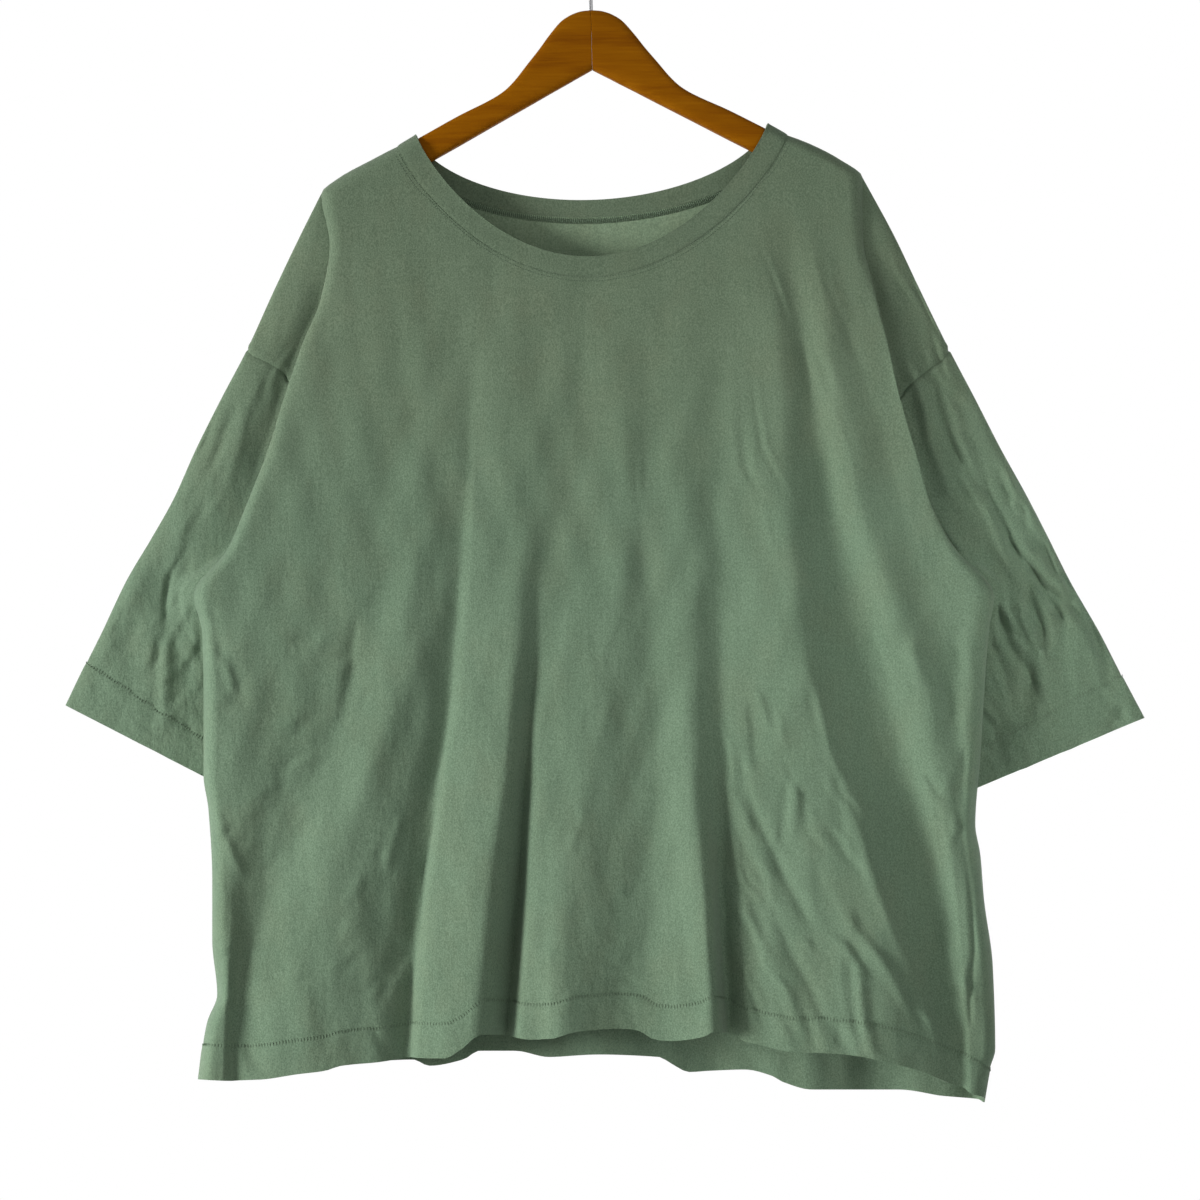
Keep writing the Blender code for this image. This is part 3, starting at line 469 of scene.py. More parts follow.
# Small creases, placed by chance within a region: its left, right, top and bottom, how many, how
# far they lean from straight down towards the right, in degrees (from, to), how long they are
# (from, to) and how far they stand out
WRINKLE_SEED = 31
WRINKLE_WIDTHS = (3.0, 5.4)
WRINKLE_HEIGHTS = (0.5, 1.3)
WRINKLE_BOW = 0.3
WRINKLE_FADE = 0.45
WRINKLE_STEP = 1.6
WRINKLES = {
    "front": {
        "left hip": (-302, -190, 560, 720, 24, -75, -30, 22, 70, 1.0),
        "lower left": (-296, -150, 720, 890, 16, -60, 0, 18, 55, 0.85),
        "lower middle": (-130, 90, 700, 892, 24, -25, 25, 15, 50, 0.7),
        "middle": (-120, 100, 420, 700, 14, -25, 15, 25, 80, 0.35),
        "chest right": (120, 225, 240, 540, 12, 8, 22, 60, 140, 0.8),
        "lower right": (105, 300, 640, 892, 52, 5, 42, 20, 80, 1.2),
        "right hip": (225, 316, 535, 720, 28, -45, 20, 18, 60, 1.15),
    },
    "back": {
        "upper": (-180, 190, 270, 560, 20, -30, 30, 25, 90, 0.4),
        "lower": (-290, 300, 560, 890, 70, -40, 40, 18, 80, 0.65),
    },
    "left": {
        "drop shoulder": (-300, -215, 250, 400, 12, -38, -12, 40, 100, 0.6),
        "sleeve": (-400, -290, 380, 680, 56, -38, -14, 40, 110, 0.7),
        "sleeve inner": (-330, -240, 560, 700, 14, -60, 0, 22, 60, 0.25),
        "cuff": (-410, -240, 600, 700, 14, -60, 30, 12, 35, 0.4),
    },
    "right": {
        "drop shoulder": (228, 320, 230, 400, 22, 14, 36, 40, 110, 1.8),
        "sleeve": (290, 430, 340, 680, 74, 18, 38, 50, 140, 2.0),
        "sleeve inner": (248, 350, 530, 700, 30, 0, 60, 22, 70, 1.3),
        "cuff": (245, 440, 600, 700, 18, -30, 60, 12, 35, 0.8),
    },
}

# Fine unevenness of worn jersey: waves of many lengths and directions, in millimetres
RIPPLE_SEED = 7
RIPPLE_WAVES = 16
RIPPLE_LENGTHS = (16, 70)
RIPPLE_TURN = 0.9
RIPPLE_STRETCH = 0.6
RIPPLE_SWELL = 0.8
RIPPLE_SWELLS = (60, 150)
RIPPLE_HEIGHT = 0.12
SLEEVE_RIPPLE = {"left": 0.9, "right": 1.8}
CREASE_HEIGHT = {"front": 1.5, "back": 1.2, "left": 1.15, "right": 1.7}

# How finely the cloth is divided
RIDGE_STEPS = 10
FOLDED_STEPS = 44
SIDE_STEPS = 112
COLUMN_SPACING = 4.4
FINE_SPACING = 3.0
FINE_FROM = 92
EDGE_SHARES = (0, 0.03, 0.07, 0.13, 0.2, 0.3, 0.42, 0.55, 0.68, 0.8, 0.9)
SLEEVE_STEPS = 150
AROUND_STEPS = 84
AROUND_SAMPLES = 400
# Where they lie closer together around a sleeve: how much, where and how far to each side
AROUND_CLOSER = ((2.2, 0.11, 0.08), (3, 0.5, 0.03), (1.6, 0.96, 0.05))
BAND_STEPS = 8
NECK_SAMPLES = 161
HANGER_SIDES = 40
HANGER_RINGS = 90
FLOOR_SIDES = 128
HALVINGS = 40
WELDS_PER_MM = 500
SHARP_FROM = math.radians(60)
SHARP_WOOD_FROM = math.radians(40)
HOOK_STEPS = 64
BEND_STEPS = 12

# Colours, in linear values
SAGE_LIGHT = (0.173, 0.254, 0.169, 1)
SAGE = (0.137, 0.207, 0.134, 1)
SAGE_DARK = (0.101, 0.158, 0.1, 1)
# A warmer tint: the yarn's own tone in random patches, and a painted brownish cast of shade over
# the upper part
WARMER = (1.1, 0.96, 0.93, 1)
# Painted shade: how much darker the inside of the cloth is made low down
PAINTED_LOW_SHADE = (0.6, 0.6, 0.6, 1)
# Thread darker than the cloth: painted shade of the stitch holes
THREAD_AND_HOLE_SHADE = (0.08, 0.12, 0.074, 1)
WOOD_LIGHT = (0.33, 0.118, 0.002, 1)
WOOD = (0.28, 0.093, 0.001, 1)
WOOD_DARK = (0.22, 0.066, 0.001, 1)
STEEL = (0.55, 0.55, 0.56, 1)
FLOOR = (0.86, 0.86, 0.85, 1)


def ramp(value, low, high):
    """0 below low, 1 above high, and a smooth rise between them."""
    share = np.clip((np.asarray(value, float) - low) / (high - low), 0, 1)
    return share * share * (3 - 2 * share)


def smooth(at, knots, values):
    """A curve through values at the knots, read at each place in at, with no overshoot.

    The first axis of knots and values runs along the curve. Any further axes match those of at, so
    that each place can have a curve of its own.
    """
    at = np.asarray(at, float)
    knots = np.asarray(knots, float)
    values = np.asarray(values, float)
    knots = knots.reshape(knots.shape + (1,) * (1 + at.ndim - knots.ndim))
    values = values.reshape(values.shape + (1,) * (1 + at.ndim - values.ndim))
    shape = (len(knots),) + np.broadcast_shapes(at.shape, knots.shape[1:], values.shape[1:])
    at = np.broadcast_to(at, shape[1:])
    knots = np.broadcast_to(knots, shape)
    values = np.broadcast_to(values, shape)
    steps = np.diff(knots, axis=0)
    slopes = np.diff(values, axis=0) / steps
    before, after = slopes[:-1], slopes[1:]
    agree = before * after > 0
    inner = np.where(agree, 2 * before * after / np.where(agree, before + after, 1), 0)
    slopes = np.concatenate([slopes[:1], inner, slopes[-1:]])
    index = np.clip((at >= knots[1:-1]).sum(axis=0), 0, len(knots) - 2)[None]

    def pick(array, offset=0):
        return np.take_along_axis(array, index + offset, axis=0)[0]

    step = pick(steps)
    share = np.clip((at - pick(knots)) / step, 0, 1)
    start, end = pick(values), pick(values, 1)
    turn = 3 * share**2 - 2 * share**3
    lift = share * (1 - share) ** 2 * pick(slopes) - share**2 * (1 - share) * pick(slopes, 1)
    return start + (end - start) * turn + step * lift


def hump(place, at, width):
    """1 at a place, and close to 0 from about twice the width away."""
    return np.exp(-(((place - at) / width) ** 2))


def mix(first, second, share):
    return first + (second - first) * share


def at_height(rows, name, down):
    """A column of a table, read at each height."""
    return smooth(down, rows["down"], rows[name])


def rounded(distance, reach):
    """0 at an edge and 1 at reach, along a quarter circle."""
    share = np.clip(distance / reach, 0, 1)
    return np.sqrt(1 - (1 - share) ** 2)


def edge_of(side, down, back=False):
    """x, depth and rounding reach of a panel's edge at each height."""
    edge, valley = EDGES[side], VALLEYS[side]
    x, y, reach = (at_height(edge, name, down) for name in ("x", "y", "reach"))
    if back:
        inward = 1 if side == "left" else -1
        x = x + inward * at_height(valley, "inward", down)
        y = y + at_height(valley, "behind", down)
    return x, y, reach


def fold_lines(panel, down):
    """x and stand-out of every fold line at each height, with the two edges first and last."""
    back = panel == "back"
    left, right = edge_of("left", down, back)[0], edge_of("right", down, back)[0]
    first = float(FOLD_DOWNS[0])
    first_left = edge_of("left", first, back)[0]
    first_right = edge_of("right", first, back)[0]
    free = ramp(down, *FOLDS_FREE)
    begun = ramp(down, FOLDS_BEGIN, first)
    lines, stands = [left], []
    for place, out in np.array(list(FOLDS[panel].values()), float):
        share = (place[0] - first_left) / (first_right - first_left)
        lines.append(mix(left + share * (right - left), smooth(down, FOLD_DOWNS, place), free))
        stands.append(smooth(down, FOLD_DOWNS, out) * begun)
    return np.array(lines + [right]), np.array([stands[0]] + stands + [stands[-1]])


def line_distance(x, down, points):
    """Distance to a line through points, below 0 on its left, and how far along it that is."""
    points = np.array(points, float)
    lengths = np.hypot(*np.diff(points, axis=0).T)
    starts = np.concatenate([[0], np.cumsum(lengths)])
    best = np.full(np.shape(x), 1e9)
    along = np.zeros(np.shape(x))
    for start, end, length, before in zip(points[:-1], points[1:], lengths, starts):
        step = end - start
        share = ((x - start[0]) * step[0] + (down - start[1]) * step[1]) / length**2
        share = np.clip(share, 0, 1)
        away = np.hypot(x - start[0] - share * step[0], down - start[1] - share * step[1])
        cross = (x - start[0]) * step[1] - (down - start[1]) * step[0]
        nearer = away < np.abs(best)
        best = np.where(nearer, np.copysign(away, cross), best)
        along = np.where(nearer, (before + share * length) / starts[-1], along)
    return best, along


def creases(name, x, down):
    """How far the cloth stands out of its folds at each place."""
    total = np.zeros(np.shape(x))
    for width, out, *line in CREASES[name]:
        away, along = line_distance(x, down, np.reshape(line, (-1, 2)))
        fade = ramp(along, 0, CREASE_FADE) * ramp(1 - along, 0, CREASE_FADE)
        total += out * hump(away, 0, width) * fade
    return total * CREASE_HEIGHT[name] + wrinkles(name, x, down)


def wrinkles(name, x, down):
    """Small creases by chance: each one a soft step, higher on one side than on the other."""
    chance = np.random.default_rng(WRINKLE_SEED)
    fields = WRINKLES[name].values()
    total = np.zeros(np.shape(x))
    for left, right, top, bottom, count, lean_from, lean_to, short, long, high in fields:
        for _ in range(count):
            middle = np.array([chance.uniform(left, right), chance.uniform(top, bottom)])
            lean = math.radians(chance.uniform(lean_from, lean_to))
            step = np.array([math.sin(lean), math.cos(lean)]) * chance.uniform(short, long) / 2
            bow = np.array([step[1], -step[0]]) * chance.uniform(-WRINKLE_BOW, WRINKLE_BOW)
            width = chance.uniform(*WRINKLE_WIDTHS)
            out = high * chance.uniform(*WRINKLE_HEIGHTS) * chance.choice((-1.0, 1.0))
            away, along = line_distance(x, down, [middle - step, middle + bow, middle + step])
            fade = ramp(along, 0, WRINKLE_FADE) * ramp(1 - along, 0, WRINKLE_FADE)
            total += WRINKLE_STEP * out * away / width * hump(away, 0, width) * fade
    return total


def ripple(x, down, strength=1.0):
    """The fine unevenness of worn jersey."""
    chance = np.random.default_rng(RIPPLE_SEED)
    total = np.zeros(np.shape(x))
    for _ in range(RIPPLE_WAVES):
        length = chance.uniform(*RIPPLE_LENGTHS)
        turn = chance.uniform(-RIPPLE_TURN, RIPPLE_TURN)
        phase = chance.uniform(0, 2 * math.pi)
        place = (x * math.cos(turn) + down * math.sin(turn) * RIPPLE_STRETCH) / length
        swell = np.sin(down / chance.uniform(*RIPPLE_SWELLS) + chance.uniform(0, 6))
        total += np.sin(2 * math.pi * place + phase) * (1 + RIPPLE_SWELL * swell)
    return total * RIPPLE_HEIGHT * strength


def panel_at(panel, across, down):
    """Points of a panel, across from 0 at its left edge to 1 at its right edge."""
    back = panel == "back"
    lines, stands = fold_lines(panel, down)
    knots = np.linspace(0, 1, len(lines))
    x = smooth(across, knots, lines)
    mean = at_height(MEAN_DEPTH[panel], "out", down)
    out = mean + smooth(across, knots, stands)
    out = out + (creases(panel, x, down) + ripple(x, down)) * ramp(down, *CALM_DOWNS)
    full = SIDE_OF_PANEL[panel] * out
    left_x, left_y, left_reach = edge_of("left", down, back)
    right_x, right_y, right_reach = edge_of("right", down, back)
    left_share = rounded(x - left_x, left_reach)
    right_share = rounded(right_x - x, right_reach)
    y = full + (left_y - full) * (1 - left_share) + (right_y - full) * (1 - right_share)
    return np.stack([x, y, np.broadcast_to(down, x.shape)], axis=-1)


def plain_x(panel, across, down):
    """x alone of a place on a panel."""
    lines, _ = fold_lines(panel, down)
    return smooth(across, np.linspace(0, 1, len(lines)), lines)


def across_at(panel, x, down):
    """How far across a panel the place x lies at each height."""
    low, high = np.zeros_like(x), np.ones_like(x)
    for _ in range(HALVINGS):
        middle = (low + high) / 2
        right_of = plain_x(panel, middle, down) > x
        low, high = np.where(right_of, low, middle), np.where(right_of, middle, high)
    return (low + high) / 2


def neck_curve(panel, line, share):
    """x, down and the drop below its ends, with share from -1 at the left to 1 at the right."""
    curve = NECK[panel, line]
    along = (share + 1) / 2
    x = mix(curve["left"][0], curve["right"][0], along)
    drop = curve["drop"] * (1 - share**2) ** curve["bow"]
    return x, mix(curve["left"][1], curve["right"][1], along) + drop, drop


def neck_shares(panel, columns):
    """The place of each column along the neck curves, from -1 at the left to 1 at the right."""
    share = -np.cos(np.linspace(0, math.pi, NECK_SAMPLES))
    x, down, _ = neck_curve(panel, "seam", share)
    across = across_at(panel, x, down)
    across[0], across[-1] = 0, 1
    return np.interp(columns, across, share)


def hem_downs(panel, columns):
    """Height of the hem at each column."""
    across = across_at(panel, HEMS[panel]["x"], HEMS[panel]["down"])
    across[0], across[-1] = 0, 1
    return smooth(columns, across, HEMS[panel]["down"])


def inner_down(side, along):
    """Height of the sleeve's inner line, along from 0 at the hanger's end to 1 at the cuff."""
    rows = np.arange(SLEEVE_ROWS) / (SLEEVE_ROWS - 1)
    upper = slice(0, SLEEVE_ARMPIT_ROW + 1)
    lower = slice(SLEEVE_ARMPIT_ROW, SLEEVE_ROWS)
    downs = SLEEVES[side]["inner_down"]
    above = smooth(along, rows[upper], downs[upper])
    below = smooth(along, rows[lower], downs[lower])
    return np.where(along <= rows[SLEEVE_ARMPIT_ROW], above, below)


def sleeve_at(side, around, along):
    """Points of the cloth between the two panels' edges: the drop shoulder and the sleeve."""
    around, along = np.broadcast_arrays(np.asarray(around, float), np.asarray(along, float))
    rows = np.arange(SLEEVE_ROWS) / (SLEEVE_ROWS - 1)
    armpit = rows[SLEEVE_ARMPIT_ROW]
    value = {name: smooth(along, rows, column) for name, column in SLEEVES[side].items()}
    inward = 1 if side == "left" else -1
    down = inner_down(side, along)
    upper = along <= armpit
    under_x, under_y = (at_height(UNDERARMS[side], name, down) for name in ("x", "y"))
    front_x, front_y, _ = edge_of(side, down)
    back_x, back_y, _ = edge_of(side, down, back=True)
    value["edge_y"] = np.where(upper, front_y, under_y)
    value["back_edge_y"] = np.where(upper, back_y, under_y)
    inner_x = np.where(upper, np.where(around < 0.5, front_x, back_x), under_x)
    opened = ramp(along, rows[SLEEVE_ARMPIT_ROW - 2], armpit)
    knots = [row[0] for row in SECTION]
    shares, tucks, depths = [], [], []
    for _, above, tuck, below, first, second, part in SECTION:
        shares.append(mix(above, below, opened))
        tucks.append(tuck * value["tucked"])
        depths.append(mix(value[first], value[second], part))
    share = smooth(around, knots, np.array(shares))
    tucked = smooth(around, knots, np.array(tucks))
    y = smooth(around, knots, np.array(depths))
    tight = share**4
    line_x = mix(value["soft_x"], inner_x, tight)
    x = mix(value["outer_x"], line_x, share) + inward * tucked
    down = mix(value["outer_down"], down, share)

    low, high = (mix(above, below, opened) for above, below in zip(*FRONT_FROM))
    front = ramp(around, low, high) * ramp(0.5 - around, 0.0, RIDGE_FADE)
    behind = ramp(around, *BEHIND_FROM) * ramp(BEHIND_TO[0] - around, 0.0, BEHIND_TO[1])
    begun = ramp(along, *ALONG_FROM)
    relief = (creases(side, x, down) + ripple(x, down, SLEEVE_RIPPLE[side])) * begun
    return np.stack([x, y - relief * front + relief * behind * BEHIND_SHARE, down], axis=-1)


def armhole(side, around):
    """How far along the sleeve the armhole seam lies at each place around it."""
    top = SEAM_ROW / (SLEEVE_ROWS - 1)
    bottom = SLEEVE_ARMPIT_ROW / (SLEEVE_ROWS - 1)
    turns, shares = zip(*ARMHOLES[side])
    return mix(top, bottom, smooth(np.abs(2 * np.asarray(around) - 1), turns, shares))


def row_downs(side):
    """Heights of a panel's rows at one edge."""
    downs = EDGES[side]["down"]
    armpit = SLEEVE_ARMPIT_ROW / (SLEEVE_ROWS - 1)
    ridge = np.linspace(downs[0], downs[SHOULDER_END_ROW], RIDGE_STEPS + 1)
    folded = inner_down(side, np.linspace(0, armpit, FOLDED_STEPS + 1))
    lower = np.linspace(downs[ARMPIT_ROW], downs[-1], SIDE_STEPS + 1)
    return np.concatenate([ridge[:-1], folded[:-1], lower])


def columns_of(panel):
    """Shares across a panel, about evenly spaced and closer at its two rounded edges."""
    lines, _ = fold_lines(panel, np.array(FOLD_DOWNS, float))
    knots = np.linspace(0, 1, len(lines))
    gaps = np.diff(lines, axis=0).max(axis=1)
    columns = [knots[1] * share for share in EDGE_SHARES]
    for start, end, gap, right in zip(knots[1:-2], knots[2:-1], gaps[1:-1], lines[2:-1, 2]):
        fine = panel == "front" and right > FINE_FROM
        spacing = FINE_SPACING if fine else COLUMN_SPACING
        columns.extend(np.linspace(start, end, 1 + math.ceil(gap / spacing))[:-1])
    columns.append(knots[-2])
    columns.extend(1 - knots[1] * share for share in EDGE_SHARES[::-1])
    return np.array(columns)


def around_places():
    """Places around a sleeve, closer together in the tucked fold and at the two turns."""
    places = np.linspace(0, 1, AROUND_SAMPLES)
    weight = np.ones(AROUND_SAMPLES)
    for closer, at, width in AROUND_CLOSER:
        weight += closer * hump(places, at, width)
    total = np.concatenate([[0], np.cumsum((weight[1:] + weight[:-1]) / 2)])
    made = np.interp(np.linspace(0, total[-1], AROUND_STEPS * 2 + 1), total, places)
    made[np.argmin(np.abs(made - 0.5))] = 0.5
    return made


def panel_grid(panel):
    """A panel from neck seam to hem between its two edges, rows by columns."""
    columns = columns_of(panel)
    top = neck_curve(panel, "seam", neck_shares(panel, columns))[1]
    low = hem_downs(panel, columns)
    left, right = (
        (downs - downs[0]) / (downs[-1] - downs[0]) for downs in map(row_downs, ("left", "right"))
    )
    share = mix(left[:, None], right[:, None], columns[None])
    down = mix(top[None], low[None], share)
    return panel_at(panel, np.broadcast_to(columns, down.shape), down)


def shoulder_grid(side, panel):
    """The drop shoulder between a panel's edge and the armhole seam, from the hanger's end out."""
    around = around_places()
    around = around[around <= 0.5] if panel == "front" else around[around >= 0.5]
    steps = np.linspace(0, 1, FOLDED_STEPS + 1)
    return sleeve_at(side, around[None], steps[:, None] * armhole(side, around)[None])


def sleeve_grid(side):
    """The sleeve as a closed tube from the armhole seam to the cuff."""
    around = around_places()
    steps = np.linspace(0, 1, SLEEVE_STEPS + 1)
    return sleeve_at(side, around[None], mix(armhole(side, around)[None], 1.0, steps[:, None]))


def band_grid(panel):
    """One half of the neck binding, from the panel's top row to the free edge."""
    seam = panel_grid(panel)[0]
    x, down, drop = neck_curve(panel, "edge", neck_shares(panel, columns_of(panel)))
    mean = at_height(MEAN_DEPTH[panel], "out", down)
    y = SIDE_OF_PANEL[panel] * mean * rounded(drop, RIDGE_RADIUS)
    steps = np.linspace(0, 1, BAND_STEPS + 1)[:, None, None]
    return mix(seam[None], np.stack([x, y, down], axis=-1)[None], steps)


def run_from(grid, last):
    """Length along each column of a grid from its first row, or from its last one."""
    steps = np.linalg.norm(np.diff(grid, axis=0), axis=-1)
    if last:
        steps = steps[::-1]
    runs = np.concatenate([np.zeros((1, grid.shape[1])), np.cumsum(steps, axis=0)])
    return runs[::-1] if last else runs


def hem_relief(grid, depth):
    """A turned-up hem: a little thicker than the cloth, and drawn in along its stitches."""
    run = run_from(grid, last=True)
    turned_up = HEM_STEP * ramp(depth + 1 - run, 0, HEM_STEP_WIDTH)
    return turned_up - STITCH_DIP * hump(run, depth, STITCH_DIP_WIDTH)


def neck_relief(grid):
    """The panel drawn in at the neck seam, with the twin stitches just below it."""
    run = run_from(grid, last=False)
    dips = NECK_DIP * hump(run, 0, NECK_DIP_WIDTH)
    dips = dips + NECK_STITCH_DIP * hump(run, NECK_ROWS[1], NECK_STITCH_WIDTH)
    return NECK_WELT * hump(run, WELT_RUN, NECK_DIP_WIDTH) - dips


def armhole_relief(side, grid, last):
    """The welt and the dip of an armhole seam; the welt lies on the body's side."""
    run = run_from(grid, last)
    welt = SEAM_WELT * hump(run, WELT_RUN, SEAM_WELT_WIDTH) if last else 0
    return welt - SEAM_DIP[side] * hump(run, 0, SEAM_DIP_WIDTH)


def band_relief(grid):
    """The binding: a soft roll between its seam and its free edge."""
    run = run_from(grid, last=False)
    width = np.maximum(run[-1:], 1e-6)
    roll = BAND_ROLL * np.sin(math.pi * np.clip(run / width, 0, 1))
    roll = roll + BAND_EDGE * hump(run, width, BAND_EDGE_WIDTH)
    return roll - NECK_DIP * hump(run, 0, NECK_DIP_WIDTH)


def upright(points):
    """x, y and down as x, y and up."""
    return points * np.array([1.0, 1.0, -1.0])


def sight_line(points):
    """Moves places seen in the hanger's plane along their lines of sight to their own depth."""
    scale = 1 + points[..., 1] / EYE_DISTANCE
    x = EYE_X + (points[..., 0] - EYE_X) * scale
    down = EYE_DOWN + (points[..., 2] - EYE_DOWN) * scale
    return np.stack([x, points[..., 1], down], axis=-1)


class Cloth:
    """Thin cloth pieces that share the points of their seams, so that their walls line up."""

    def __init__(self):
        self.parts = []
        self.ids = []

    def add(self, name, grid, relief, turned):
        """Adds a grid of points to a piece, with its relief along the surface's normals."""
        self.parts.append((name, upright(sight_line(grid)), relief, turned))

    def sew(self):
        """Welds the points of all grids and works out faces and shared normals."""
        points = np.concatenate([grid.reshape(-1, 3) for _, grid, _, _ in self.parts])
        relief = np.concatenate([relief.reshape(-1) for _, _, relief, _ in self.parts])
        keys = np.round(points * WELDS_PER_MM).astype(np.int64)
        _, first, index = np.unique(keys, axis=0, return_index=True, return_inverse=True)
        index = index.reshape(-1)
        self.points = points[first]
        self.faces = {}
        start = 0
        for name, grid, _, turned in self.parts:
            rows, columns = grid.shape[:2]
            ids = index[start:start + rows * columns].reshape(rows, columns)
            start += rows * columns
            self.ids.append(ids)
            a, b, c, d = ids[:-1, :-1], ids[1:, :-1], ids[1:, 1:], ids[:-1, 1:]
            made = np.concatenate([
                np.stack([a, b, c], axis=-1).reshape(-1, 3),
                np.stack([a, c, d], axis=-1).reshape(-1, 3),
            ])
            whole = (made[:, 0] != made[:, 1]) & (made[:, 1] != made[:, 2])
            made = made[whole & (made[:, 2] != made[:, 0])]
            if turned:
                made = made[:, ::-1]
            self.faces[name] = np.concatenate([self.faces.get(name, np.zeros((0, 3), int)), made])
        self.points = self.points + self.facing() * relief[first][:, None]
        self.normals = self.facing()

    def facing(self):
        """The normal at each point, shared by all the pieces that meet there."""
        total = np.zeros_like(self.points)
        for faces in self.faces.values():
            corners = self.points[faces]
            facing = np.cross(corners[:, 1] - corners[:, 0], corners[:, 2] - corners[:, 0])
            for i in range(3):
                np.add.at(total, faces[:, i], facing)
        return total / np.maximum(np.linalg.norm(total, axis=1, keepdims=True), 1e-9)

    def row_at(self, grid, run, last, out):
        """A line across a grid at a distance from its first or last row, lifted off the cloth."""
        ids = self.ids[grid][::-1] if last else self.ids[grid]
        places, normals = self.points[ids], self.normals[ids]
        runs = run_from(places, last=False)
        row = np.clip((runs < run).sum(axis=0) - 1, 0, len(runs) - 2)
        column = np.arange(ids.shape[1])
        start, end = runs[row, column], runs[row + 1, column]
        share = ((run - start) / np.maximum(end - start, 1e-6))[:, None]
        place = mix(places[row, column], places[row + 1, column], share)
        return place + mix(normals[row, column], normals[row + 1, column], share) * out

    def wall(self, name, thickness):
        """Points and faces of a piece as a closed wall."""
        faces = self.faces[name]
        edges = np.concatenate([faces[:, [0, 1]], faces[:, [1, 2]], faces[:, [2, 0]]])
        known = set(map(tuple, edges.tolist()))
        rim = [(a, b) for a, b in edges.tolist() if (b, a) not in known]
        used, shell = np.unique(faces, return_inverse=True)
        shell = shell.reshape(-1, 3)
        order = {old: new for new, old in enumerate(used.tolist())}
        middle = self.points[used]
        out = self.normals[used] * thickness / 2
        count = len(used)
        made = shell.tolist() + (shell[:, ::-1] + count).tolist()
        made += [[order[b], order[a], order[a] + count, order[b] + count] for a, b in rim]
        return np.concatenate([middle + out, middle - out]), made, len(shell)


def placed(name, data):
    """A new object in the scene."""
    made = bpy.data.objects.new(name, data)
    bpy.context.collection.objects.link(made)
    return made


def settled(made):
    """The same object as a plain mesh, with its modifiers or its curve worked out."""
    name = made.name
    depsgraph = bpy.context.evaluated_depsgraph_get()
    plain = bpy.data.meshes.new_from_object(made.evaluated_get(depsgraph))
    bpy.data.objects.remove(made, do_unlink=True)
    plain.shade_smooth()
    return placed(name, plain)


def mesh_object(name, points, faces, finish):
    """A smooth object of points in millimetres."""
    mesh = bpy.data.meshes.new(name)
    mesh.from_pydata((np.asarray(points) * MM).tolist(), [], faces)
    mesh.validate()
    mesh.materials.append(finish)
    mesh.shade_smooth()
    mesh.set_sharp_from_angle(angle=SHARP_FROM)
    return placed(name, mesh)


def mesh_of(name, make, **settings):
    """A mesh made by one of bmesh's own shapes."""
    mesh = bpy.data.meshes.new(name)
    tool = bmesh.new()
    make(tool, cap_ends=True, **settings)
    tool.to_mesh(mesh)
    tool.free()
    return mesh


def shaded(colour, share):
    """A colour made darker or lighter."""
    return tuple(part * share for part in colour[:3]) + (1,)


class Finish:
    """A material whose nodes are added one by one."""

    def __init__(self, name, roughness, **sockets):
        self.material = bpy.data.materials.new(name)
        self.material.use_nodes = True
        self.nodes = self.material.node_tree.nodes
        self.links = self.material.node_tree.links
        self.surface = self.nodes["Principled BSDF"]
        self.surface.inputs["Roughness"].default_value = roughness
        for socket, value in sockets.items():
            self.surface.inputs[socket.replace("_", " ")].default_value = value
        self.place = self.nodes.new("ShaderNodeTexCoord").outputs["Object"]

    def add(self, kind, inputs, **settings):
        node = self.nodes.new(kind)
        for name, value in settings.items():
            setattr(node, name, value)
        for name, value in inputs.items():
            if hasattr(value, "is_output"):
                self.links.new(value, node.inputs[name])
            else:
                node.inputs[name].default_value = value
        return node

    def stretched(self, scale):
        inputs = {"Vector": self.place, "Scale": scale}
        return self.add("ShaderNodeMapping", inputs).outputs["Vector"]

    def noise(self, scale, stretch=(1, 1, 1), detail=2.0, roughness=0.5):
        """Noise of about scale patches a metre."""
        inputs = {"Vector": self.stretched(stretch), "Scale": scale, "Detail": detail}
        inputs["Roughness"] = roughness
        return self.add("ShaderNodeTexNoise", inputs).outputs["Fac"]

    def shades(self, factor, stops):
        """Colours that follow factor through stops of place and colour."""
        node = self.add("ShaderNodeValToRGB", {"Fac": factor})
        points = node.color_ramp.elements
        while len(points) < len(stops):
            points.new(0.5)
        for point, (place, colour) in zip(points, stops):
            point.position = place
            point.color = colour
        return node.outputs["Color"]

    def blend(self, factor, first, second, kind="MIX"):
        inputs = {0: factor, 6: first, 7: second}
        node = self.add("ShaderNodeMix", inputs, data_type="RGBA", blend_type=kind)
        return node.outputs[2]

    def weighed(self, *parts):
        """The sum of some values, each with its weight."""
        total = 0.0
        for value, weight in parts:
            total = self.maths("ADD", total, self.maths("MULTIPLY", value, weight))
        return total

    def span(self, value, low, high, top):
        """0 at low, top at high, and a smooth rise between them."""
        inputs = {"Value": value, "From Min": low, "From Max": high, "To Max": top}
        node = self.add("ShaderNodeMapRange", inputs, interpolation_type="SMOOTHSTEP")
        return node.outputs["Result"]

    def height(self):
        return self.add("ShaderNodeSeparateXYZ", {"Vector": self.place}).outputs["Z"]

    def maths(self, operation, first, second):
        return self.add("ShaderNodeMath", {0: first, 1: second}, operation=operation).outputs[0]

    def finish(self, colour, height=None, distance=0.001, strength=1.0):
        self.links.new(colour, self.surface.inputs["Base Color"])
        if height is not None:
            inputs = {"Height": height, "Distance": distance, "Strength": strength}
            bump = self.add("ShaderNodeBump", inputs)
            self.links.new(bump.outputs["Normal"], self.surface.inputs["Normal"])
        return self.material


